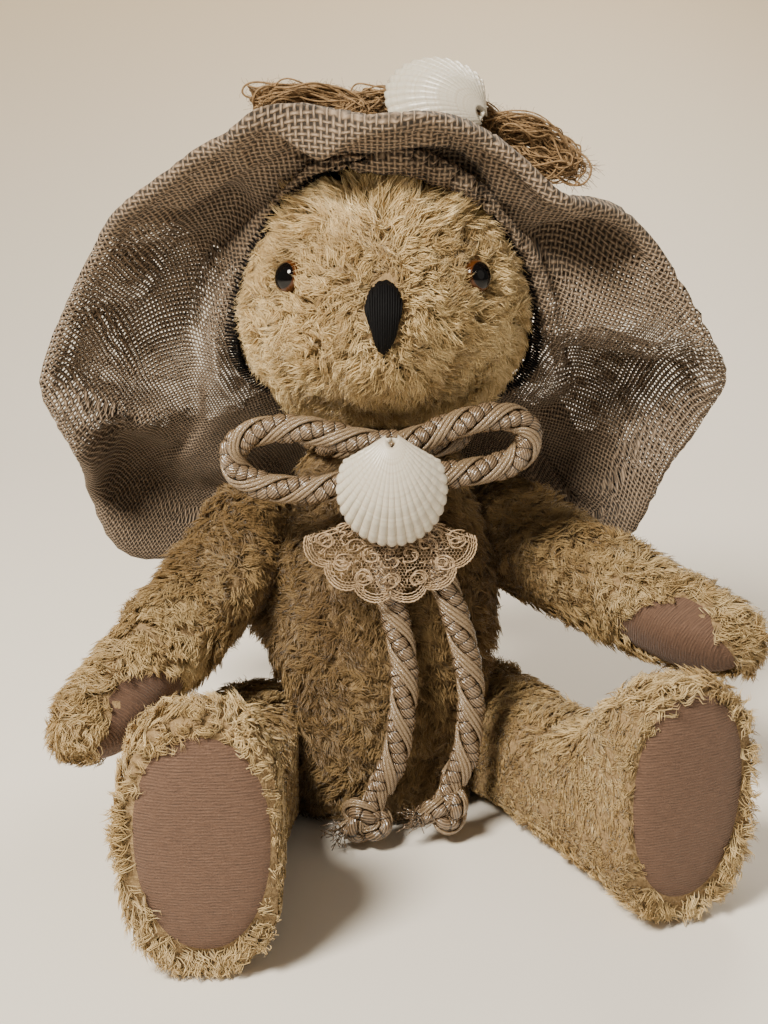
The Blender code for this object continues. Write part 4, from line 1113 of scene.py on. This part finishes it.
# ---- shells
SHELL_HALF, SHELL_DOME, SHELL_THICK = 62, 8.5, 1.1  # half the fan in degrees, its dome and its wall in mm
SHELL_RIB, SHELL_RING = 0.52, 0.10  # mm that a rib and a growth ring stand out
SHELL_RING_PHASE = 42.0  # radians of growth rings from the hinge to the edge
def scallop(name, long, top, body, turn, node, ribs):
    """A fan with ribs and growth rings, and an ear on each side of its hinge. turn is a 3 by 3 array."""
    half = math.radians(SHELL_HALF)
    share = np.linspace(0.10, 1, 44)[:, None]
    angle = np.linspace(-half, half, ribs * 8 + 1)[None, :]
    wave = np.cos(angle / half * ribs * math.pi)
    reach = long * share * np.cos(angle) ** 0.9 * (1 + 0.016 * wave * share**6)
    across = 1 - (angle / half) ** 2
    dome = SHELL_DOME * np.sin(math.pi * (0.12 + 0.80 * share)) * (0.25 + 0.75 * across)
    ridge = SHELL_RIB * wave * (0.25 + 0.9 * share) * np.clip(across * 4, 0, 1)
    growth = SHELL_RING * np.sin(share * SHELL_RING_PHASE) * share
    height = -(dome + ridge + growth)
    outer = np.stack([0.93 * reach * np.sin(angle), height, -reach * np.cos(angle)], axis=-1)
    build = Build()
    build.add(outer, wrap=False, wide=1000, tall=1000)
    for side in (-1, 1):
        ear = []
        for t in np.linspace(0, 1, 6):
            low = np.array((side * (0.8 + 4.0 * t), -2.2 - 0.4 * math.sin(t * 9), -(1.8 + 2.6 * t)))
            high = np.array((side * (0.4 + 3.4 * t), -2.0 - 0.4 * math.sin(t * 9), -0.4 - 1.0 * t))
            ear.append([low + (high - low) * u for u in np.linspace(0, 1, 5)[::side]])
        build.add(np.array(ear), wrap=False, wide=100, tall=100)
    build.points = [block @ turn.T + np.array(top) for block in build.points]
    thicken(build.piece(name, "shell", body, "shell", node), "wall", SHELL_THICK, -1)


# ---- lace
LACE_TOP, LACE_TILT, LACE_LONG, LACE_HALF = (2, -51.5, 111.0), -10.0, 28.6, math.radians(72)
NET_CELL, NET_INSIDE, NET_THREAD = 0.62, 3.0, 0.085  # a cell's side, where the net starts, a thread's radius
BORDERS = (  # lift, share of the way out, radius
    (0.35, 0.955, 0.30), (0.30, 0.925, 0.22), (0.25, 0.90, 0.20), (0.3, 0.865, 0.18))
SWIRLS = ((3.6, 0.80, 1), (3.0, 0.80, -1), (3.4, 0.56, 1), (2.6, 0.38, -1))  # size, share out, way round
SCALLOPS, SPRIGS = 6, 150
LACE_STITCH, LACE_THIN = 0.20, 0.16  # radius of a swirl's cord and of the thread beside it


def make_lace():
    """A fan of net with corded swirls and a scalloped edge."""
    build, lean = Build(), turned(LACE_TILT, "X")

    def place(x, z, lift=0.0):
        ripple = 0.9 * math.sin(x * 0.55 + 0.3) * min(1.0, math.hypot(x, z) / 20)
        return lean @ np.array((x, ripple - lift, z)) + np.array(LACE_TOP)

    def fan_place(off, far, lift):
        return place(far * math.sin(off), -far * math.cos(off), lift)

    for lift, far_share, thick in BORDERS:
        border = []
        for t in np.linspace(-1, 1, SCALLOPS * 20 + 1):
            bulge = abs(math.sin((t + 1) / 2 * SCALLOPS * math.pi))
            far = LACE_LONG * (far_share + 0.085 * bulge**0.7 + 0.006 * math.sin(t * 170))
            border.append(fan_place(LACE_HALF * t, far, lift))
        build.tube(border, thick, 5)
    for side in (-1, 1):
        for share in (0.97, 0.92):
            build.tube([fan_place(side * LACE_HALF * share, r, 0.3)
                        for r in np.linspace(LACE_LONG * 0.35, LACE_LONG * 0.96, 24)], 0.22, 5)
    draw = np.random.default_rng(5)
    for index, off in enumerate(np.linspace(-0.90, 0.90, 7) * LACE_HALF):
        for size, far, way in SWIRLS:
            turns = draw.uniform(1.7, 2.5) * math.pi
            shift = draw.normal(size=2) * 0.5
            line = []
            for t in np.linspace(0, turns, 34):
                r, angle = size * (1 - 0.75 * t / turns), t * way + off + index
                x = LACE_LONG * far * math.sin(off) + r * math.cos(angle) + shift[0]
                z = -LACE_LONG * far * math.cos(off) + 0.8 * r * math.sin(angle) + shift[1]
                line.append(place(x, z, 0.4))
            build.tube(line, LACE_STITCH, 4)
            build.tube([point + lean @ np.array((0.45, -0.1, 0.1)) for point in line], LACE_THIN, 4)
    for _ in range(SPRIGS):
        off, far = draw.uniform(-0.95, 0.95) * LACE_HALF, LACE_LONG * draw.uniform(0.45, 0.95)
        middle = fan_place(off, far, 0.45)
        way = lean @ unit(draw.normal(size=3) * np.array((1, 0.1, 1))) * 0.9
        build.tube([middle - way, middle + lean @ np.array((0, -0.35, 0)), middle + way], LACE_STITCH, 4)
    add_net(build, place)
    build.piece("lace_net", "lace", "torso", "lace", "lace_fan")


def add_net(build, place):
    """Six-sided cells. Each cell adds three of its sides, and its neighbours add the others."""
    for row in range(-4, 62):
        for column in range(-40, 41):
            x = (column + (row % 2) / 2) * NET_CELL * math.sqrt(3)
            z = -row * NET_CELL * 1.5
            for k in range(3):
                ends = [(x + NET_CELL * math.cos(a), z + NET_CELL * math.sin(a))
                        for a in (math.radians(60 * k + 30), math.radians(60 * k + 90))]
                middle_x, middle_z = np.mean(ends, axis=0)
                far, off = math.hypot(middle_x, middle_z), math.atan2(middle_x, -middle_z)
                edge = LACE_LONG * (0.93 + 0.04 * math.cos(off * 12))
                if NET_INSIDE < far < edge and abs(off) < LACE_HALF:
                    build.strand(place(*ends[0]), place(*ends[1]), NET_THREAD)


# ---- jute bow
JUTE_LOOPS = [  # middle, half size, tilt in degrees about Y, strands, roughness
    ((-23, 9, 232.0), (21, 6.0), 4, 76, 0.8), ((4, 13, 233), (17, 4.0), -4, 26, 0.8),
    ((31, 11, 227.0), (13, 5.0), 30, 34, 0.8), ((49, 10, 218.5), (18, 7.4), 24, 84, 1.5)]
JUTE_ENDS = (((1.0, 0.1, -0.35), (63, 9, 213)), ((0.9, -0.1, -0.7), (61, 9, 210)))  # way, start
FIBRES = 26  # for each strand, and at each frayed end
JUTE_THIN, JUTE_THICK, FIBRE_RADIUS = 0.20, 0.42, 0.055  # a strand's least and greatest radius, and a fibre's


def make_jute():
    """Two lobes of loose twine: each is many untwisted strands that run round it at random depths."""
    draw = np.random.default_rng(9)
    build, fuzz = Build(), Build()
    t = np.linspace(0, TAU, 27)[:-1]
    for middle, (half_long, half_high), tilt, strands, rough in JUTE_LOOPS:
        for _ in range(strands):
            turn = turned(tilt + draw.normal() * 5, "Y")
            grow_x, grow_z = draw.uniform(0.55, 1.0), draw.uniform(0.15, 1.0)
            lift = draw.normal(size=3) * np.array((0.9, 2.2, 0.6))
            phase = draw.uniform(-0.6, 0.6)
            wobble = draw.uniform(0, TAU, 3)
            line = np.stack([
                grow_x * half_long * np.cos(t) + rough * np.sin(3 * t + wobble[0]),
                2.0 * np.sin(2 * t + phase) + 1.2 * np.cos(3 * t + wobble[1]),
                grow_z * half_high * np.sin(t) + rough * np.sin(4 * t + wobble[2])], axis=1)
            line = smooth_line(line @ turn.T + np.array(middle) + lift, 64, closed=True)
            build.tube(line, draw.uniform(JUTE_THIN, JUTE_THICK), 5, closed=True)
            for _ in range(FIBRES):
                root = line[draw.integers(0, len(line))]
                way = unit(draw.normal(size=3))
                bend = root + way * draw.uniform(0.8, 2.0) + draw.normal(size=3) * 0.4
                end = bend + unit(way + draw.normal(size=3) * 0.8) * draw.uniform(0.8, 2.8)
                fuzz.tube(smooth_line([root, bend, end], 4), FIBRE_RADIUS, 3)
    for way, start in JUTE_ENDS:
        for _ in range(FIBRES):
            root = np.array(start) + draw.normal(size=3) * 1.2
            bend = root + np.array(way) * 3.0 + draw.normal(size=3) * 1.0
            end = bend + np.array(way) * 3.0 + draw.normal(size=3) * 1.6
            build.tube(smooth_line([root, bend, end], 8), 0.14, 4, taper=np.linspace(1, 0.3, 8))
    build.piece("jute_twine", "jute", "head", "jute", "jute_bow")
    fuzz.piece("jute_fibres", "jute", "head", "jute")


# ---- face
EYE_WAYS = {"left": (0.62, -0.72, 0.19), "right": (-0.65, -0.72, 0.19)}  # the left eye sits nearer the nose
EYE_HALF, EYE_OUT = (5.3, 5.3, 4.2), 1.9
NOSE_WAY, NOSE_HALF_WIDE, NOSE_HALF_TALL, NOSE_STITCHES = (0, -1, -0.02), 6.0, 11.0, 15
NOSE_THREAD, MOUTH_THREAD = 0.46, 0.36  # radius
MOUTH = (((0, -10), (0, -14)), ((0, -14), (-6, -16.5)), ((0, -14), (6, -16.5)))  # its stitches' ends


def on_face(way, lift=0.0):
    return head_points(np.array([way]), lift)[0]


def make_eyes():
    for side in SIDES:
        seat = on_face(EYE_WAYS[side])
        out = FACE @ unit(EYE_WAYS[side])
        build = Build()
        build.add(ball(20, 40, 0.03, math.radians(140))[::-1] * np.array(EYE_HALF), wide=1, tall=1, caps=True)
        piece = build.piece(side + "_button_eye", "eye", "head", "eye")
        z_way = Vector(out)
        x_way = Vector((0, 0, 1)).cross(z_way).normalized()
        matrix = Matrix((x_way, z_way.cross(x_way), z_way)).transposed().to_4x4()
        matrix.translation = Vector((seat + out * EYE_OUT) * MM)
        piece.parent = None
        piece.matrix_world = matrix
        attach(piece, "head")
        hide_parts(side + "_eye")


def make_nose():
    """Satin stitch: upright threads over a shield pointed at the bottom, and the mouth's stitches."""
    build = Build()
    reach = float(np.linalg.norm(on_face(NOSE_WAY) - HEAD_CENTRE))
    draw = np.random.default_rng(3)

    def spot(x, z, lift):
        return on_face((0.93 * x / reach, -1, -0.055 + z / reach), lift)

    for layer in range(2):
        for index in range(NOSE_STITCHES):
            x = NOSE_HALF_WIDE * (2 * (index + 0.5 * layer) / NOSE_STITCHES - 1) * 0.97
            side = abs(x) / NOSE_HALF_WIDE
            top = NOSE_HALF_TALL * math.sqrt(max(0.0, 1 - side**2.3)) * 0.97
            bottom = -NOSE_HALF_TALL * max(0.0, 1 - side**1.8) ** 0.72
            if top - bottom < 1.5:
                continue
            line = []
            jitter = draw.normal(size=2) * 0.25
            for t in np.linspace(0, 1, 12):
                z = top + jitter[0] + (bottom + jitter[1] - top) * t
                arch = math.sin(math.pi * t) ** 0.5 * math.sqrt(max(0.0, 1 - 0.7 * side**2))
                line.append(spot(x * (1 - 0.30 * t**2), z, 1.4 + (2.4 + 0.5 * layer) * arch))
            build.tube(line, NOSE_THREAD, 6)
    for (x0, z0), (x1, z1) in MOUTH:
        build.tube([spot(x0 + (x1 - x0) * t, z0 + (z1 - z0) * t - 0.8 * math.sin(math.pi * t), 2.0)
                    for t in np.linspace(0, 1, 8)], MOUTH_THREAD, 6)
    build.piece("nose_stitches", "black", "head", "nose_thread", "nose")


# ---- pads
def pad_piece(name, limb, rings, uv, node):
    """The velour over rings of points from the pad's middle to its rim."""
    grid = np.array(rings)
    count, sides = grid.shape[:2]
    tips = fan(np.arange(sides), count * sides)[:, [1, 0, 2]]
    faces = grid_faces(count, sides, wrap=True)
    if limb.startswith("left"):
        faces, tips = faces[:, ::-1], tips[:, ::-1]
    flat = np.vstack([grid.reshape(-1, 3), grid[0].mean(axis=0)])
    uv = np.vstack([np.reshape(uv, (-1, 2)), (0, 0)]) * MM
    mesh_piece(name, to_world(limb, flat), [tips, faces], "pad", limb,
               uv=uv[np.concatenate([tips.ravel(), faces.ravel()])], node=node)


def make_foot_pad(side):
    """An egg, wider at the top, with a domed middle and a rim that is turned in."""
    end, out, up = LEG_SECTIONS[-1][:3]
    sides = 56
    angle = np.arange(sides) * TAU / sides
    x, z = (np.sign(part) * np.abs(part) ** 0.91 for part in (np.cos(angle), np.sin(angle)))
    rings, uv = [], []
    for share in np.linspace(0.04, 1, 14):
        beside, above = share * SOLE_HALF[0] * x * (1 + 0.05 * z), share * SOLE_HALF[1] * z
        along = end + 0.6 + (2.6 * (1 - share**2.4) - 1.5 * share**10)
        outwards = side_of(side) * (out + beside)
        rings.append(np.stack([np.full(sides, along), outwards, up + SOLE_LIFT + above], axis=1))
        uv.append(np.stack([beside, above], axis=1))
    pad_piece(side + "_sole", side + "_leg", rings, uv, side + "_foot_pad")


def make_paw_pad(side):
    """The pad follows the inner face of the arm."""
    columns = 96
    surface = limb_surface(side + "_arm", 260, columns)
    middle, half_long, half_wide, lift = PAW_PAD
    inner = surface[:, np.cos(np.arange(columns) * TAU / columns) < 0.02]
    inner = inner[np.argsort(inner[:, 0, 0])]
    rings, uv = [], []
    for share in np.linspace(0.04, 1, 12):
        ring = []
        for angle in np.arange(48) * TAU / 48:
            along, up = share * half_long * math.cos(angle), share * half_wide * math.sin(angle)
            row = inner[np.abs(inner[:, 0, 0] - middle - along).argmin()]
            row = row[np.argsort(row[:, 2])]
            face = float(np.interp(lift + up, row[:, 2], row[:, 1]))
            ring.append((middle + along, face - side_of(side) * (0.7 + 0.9 * (1 - share**2)), lift + up))
            uv.append((up, along))
        rings.append(ring)
    pad_piece(side + "_paw_velour", side + "_arm", rings, uv, side + "_paw_pad")


# ---- plush on each part
PLUSH = {"body": 8600, "head": 10800, "arm": 4500, "leg": 5900}  # locks
LONG = {"body": 7.0, "head": 7.6, "arm": 7.6, "leg": 7.0}  # mm of pile
NO_RIM = 9.0  # far outside a pad, where 1 is its edge
RIM_SHARE, RIM_REACH = 0.74, 1.5  # the pile's length beside a pad, and how far out that goes
JOINT_BARE = 1.6, 14  # no pile this near the body's side and the joint's place, in mm
LIMB_BARE, EYE_BARE, CROWN_BARE = 10, 3.4, 16  # mm from a joint's axis, from an eye, and behind the opening
NOSE_BARE = 5.6, 10.4  # half sizes in mm


def make_limb(name, seed):
    """Backing and pile of an arm or a leg: bare under its pad and at its joint, short where it is pressed,
    and darker near the body and where it is pressed, as painted shade.
    """
    arm, side, kind = name.endswith("arm"), side_of(name), name[-3:]
    sections = np.array(ARM_SECTIONS if arm else LEG_SECTIONS, float)
    surface = to_world(name, limb_surface(name, 64, 48))[:, ::side]
    backing(name + "_backing", name, surface, name + "_skin")
    place, axes = limb_matrix(name)
    points, normals = scatter(surface, PLUSH[kind], True, np.random.default_rng(seed))
    own = (points - place) @ axes.T
    along, outwards, up = own[:, 0], side * own[:, 1], own[:, 2]
    if arm:
        middle, half_long, half_wide, lift = PAW_PAD
        inside = ((along - middle) / half_long) ** 2 + ((up - lift) / half_wide) ** 2
        facing_in = outwards < np.interp(along, sections[:, 0], sections[:, 1])
        bare = (inside < 1.0) & facing_in
        rim = np.where(facing_in, inside, NO_RIM)
    else:
        end, out, sole_up = sections[-1, :3]
        inside = ((outwards - out) / SOLE_HALF[0]) ** 2 + ((up - sole_up - SOLE_LIFT) / SOLE_HALF[1]) ** 2
        bare = (inside < 0.95) & (along > end - 0.3)
        rim = np.where(along > end - 3, inside, NO_RIM)
    at_joint = (outwards < JOINT_BARE[0]) & (np.abs(along) < JOINT_BARE[1])
    keep = ~bare & ~at_joint
    points, normals, own, rim = points[keep], normals[keep], own[keep], rim[keep]
    comb = np.tile(axes[0] * 0.9 + np.array((0, 0, -0.45)), (len(points), 1)) + 0.25 * joint_of(name)[1]
    if not arm:
        front = np.clip((own[:, 0] - 78) / 30, 0, 1)[:, None]
        outward = unit(own[:, 1:] - np.array((side * out, sole_up))) @ axes[1:]
        comb = comb * (1 - 0.8 * front) + outward * 0.8 * front
    pressed = np.clip((side * own[:, 1] - 1.0) / 9.0, 0.22, 1)
    long = LONG[kind] * np.where(rim < RIM_REACH, RIM_SHARE, 1.0) * pressed
    long = long * np.clip(0.25 + points[:, 2] / 7.0, 0.25, 1)
    # painted shade: the plush is darker towards the shoulder of an arm and the hip of a leg, and where it is
    # pressed against the body; the arms are darker overall as painted shadow of the hat and body
    shaded = np.clip((own[:, 0] - (22 if arm else 12)) / 50, 0, 1)
    tone = ((0.40 + 0.50 * shaded) if arm else (0.74 + 0.28 * shaded)) * np.clip(0.72 + 0.28 * pressed, 0, 1)
    pile(name + "_pile", name, points, normals, comb, long, seed + 50, tone)


def make_body_plush():
    """Shorter near the limbs, the floor and the neck, and under the tails, and darker there as painted shade;
    the whole body is painted dark, partly for its own darker plush and partly as painted shadow of the hat
    and head.
    """
    surface = body_surface(70, 96)
    backing("body_backing", "torso", surface, "body_skin")
    points, normals = scatter(surface, PLUSH["body"], False, np.random.default_rng(21))
    keep = np.ones(len(points), bool)
    length_and_shade = np.ones(len(points))
    for name in LIMBS:
        place, axis = joint_of(name)
        away = points - place
        along = away @ axis
        beside = np.linalg.norm(away - along[:, None] * axis, axis=1)
        flat = along > -2.0
        keep &= ~(flat & (beside < LIMB_BARE))
        length_and_shade = np.where(flat, np.minimum(length_and_shade, np.clip((beside - 8) / 14, 0.15, 1)), length_and_shade)
    length_and_shade *= np.clip(0.2 + points[:, 2] / 8.0, 0.2, 1)
    length_and_shade *= np.clip((NECK_Z + 1 - points[:, 2]) / 12.0, 0.2, 1)
    for side in SIDES:
        length_and_shade *= 0.35 + 0.65 * near(points, smooth_line(TAIL_ROUTES[side], 30), 13.0)
    points, normals, length_and_shade = points[keep], normals[keep], length_and_shade[keep]
    comb = np.array((0, 0, -1.0)) + 0.25 * normals
    # painted shade: tone follows the pile's length, darker near the limbs, the floor, the neck and under the
    # tails; its low base is partly the body's darker plush and partly painted shadow of the hat and head
    pile("body_pile", "torso", points, normals, comb, LONG["body"] * length_and_shade, 22, 0.20 + 0.16 * length_and_shade)


def make_head_plush():
    """Bare under the crown, the eyes and the nose, short round them and darker there as painted shade, and
    combed away from the nose.
    """
    surface = head_surface(80, 120)
    backing("head_backing", "head", surface, "head_skin")
    points, normals = scatter(surface, PLUSH["head"], False, np.random.default_rng(23))
    depth = (points - np.mean(HAT_OPENING, axis=0)) @ hat_behind()
    keep = depth < CROWN_BARE
    length_and_shade = np.clip((13 - depth) / 9, 0.25, 1)
    length_and_shade *= 1 + 0.95 * np.clip((points[:, 2] - 190) / 12, 0, 1)
    for side in SIDES:
        far = np.linalg.norm(points - on_face(EYE_WAYS[side]), axis=1)
        keep &= far > EYE_BARE
        length_and_shade *= np.clip((far - 1.0) / 8, 0.42, 1)
    nose = on_face(NOSE_WAY)
    away = points - nose
    own = (away[:, 0] / NOSE_BARE[0]) ** 2 + (away[:, 2] / NOSE_BARE[1]) ** 2
    keep &= ~((own < 0.9) & (points[:, 1] < -20))
    length_and_shade *= np.clip(0.40 + 0.6 * (own - 0.8) / 2.2, 0.40, 1)
    length_and_shade *= np.clip(0.3 + (points[:, 2] - NECK_Z) / 10, 0.3, 1)
    points, normals, length_and_shade = points[keep], normals[keep], length_and_shade[keep]
    comb = points - (nose + np.array((0, 0, 6.0)))
    comb[:, 1] *= 0.3
    comb = unit(comb) + np.array((0, 0, -0.15))
    # painted shade: tone follows the pile's length, darker under the crown, round the eyes and the nose and
    # at the neck, and lighter at the top where the pile is longer
    tone = 0.86 + 0.30 * length_and_shade
    pile("head_pile", "head", points, normals, comb, LONG["head"] * length_and_shade, 24, tone, lie=0.75)


def paint_inner_pieces():
    """Materials for the solids that show no look piece of their own."""
    for node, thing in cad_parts.items():
        for ends, kind in (("stuffing", "stuffing"), ("disc_inner", "board"), ("disc_outer", "board"),
                           (("bolt", "nut", "washer"), "steel"), ("_ear", "backing")):
            if node.endswith(ends):
                thing.data.materials.clear()
                thing.data.materials.append(M[kind])


add_camera()
make_cords()
make_hat()
scallop("neck_scallop", 33.5, (2.4, -54.5, 135), "torso", np.eye(3), "neck_shell", 22)
scallop("hat_scallop", 33.0, (32, -4, 226), "head", turned(-40, "X") @ turned(118, "Y"), "hat_shell", 20)
make_lace()
make_jute()
make_eyes()
make_nose()
for number, part in enumerate(SIDES):
    make_foot_pad(part)
    make_paw_pad(part)
    make_limb(part + "_arm", 41 + number)
    make_limb(part + "_leg", 43 + number)
make_body_plush()
make_head_plush()
paint_inner_pieces()


# ---- floor, backdrop and lights
FLOOR_HALF, FLOOR_FRONT, FLOOR_BACK, WALL_TOP, BEND = 2.4, -1.8, 0.5, 2.4, 0.6  # metres
def make_floor():
    """A flat floor that bends up into a backdrop."""
    bend = np.linspace(0, math.pi / 2, 25)
    curve = [(FLOOR_FRONT, 0.0), (-0.6, 0.0), (0.2, 0.0), (0.48, 0.0)]
    curve += [(FLOOR_BACK + BEND * math.sin(turn), BEND - BEND * math.cos(turn)) for turn in bend]
    curve += [(FLOOR_BACK + BEND, height) for height in (0.62, 1.2, WALL_TOP)]
    wide = np.linspace(-FLOOR_HALF, FLOOR_HALF, 9)
    points = [(x, y, z) for y, z in curve for x in wide]
    mesh = bpy.data.meshes.new("floor")
    mesh.from_pydata(points, [], grid_faces(len(curve), len(wide)).tolist())
    mesh.shade_smooth()
    look = Nodes("pale_floor", 0.62)
    height = look.split(look.place())[2]
    look.set("Base Color", look.ramp(height, (0.0, (0.93, 0.885, 0.81)), (0.40, (0.76, 0.61, 0.40))))
    mesh.materials.append(look.material)
    floor = bpy.data.objects.new("floor", mesh)
    bpy.context.scene.collection.objects.link(floor)


make_floor()
add_light("key", (-0.50, -0.70, 0.95), (0, -0.02, 0.10), 0.36, 29.0, (1.0, 0.92, 0.79))
add_light("fill", (0.9, -0.6, 0.55), (0, 0, 0.10), 0.9, 0.9, (1.0, 0.92, 0.80))
add_light("rear", (0.25, 0.75, 0.85), (0, 0, 0.14), 0.6, 7.0, (1.0, 0.93, 0.82))
world = bpy.data.worlds.new("studio")
world.use_nodes = True
world.node_tree.nodes["Background"].inputs["Color"].default_value = (1.0, 0.93, 0.82, 1)
world.node_tree.nodes["Background"].inputs["Strength"].default_value = 0.155
bpy.context.scene.world = world

bpy.context.view_layer.update()
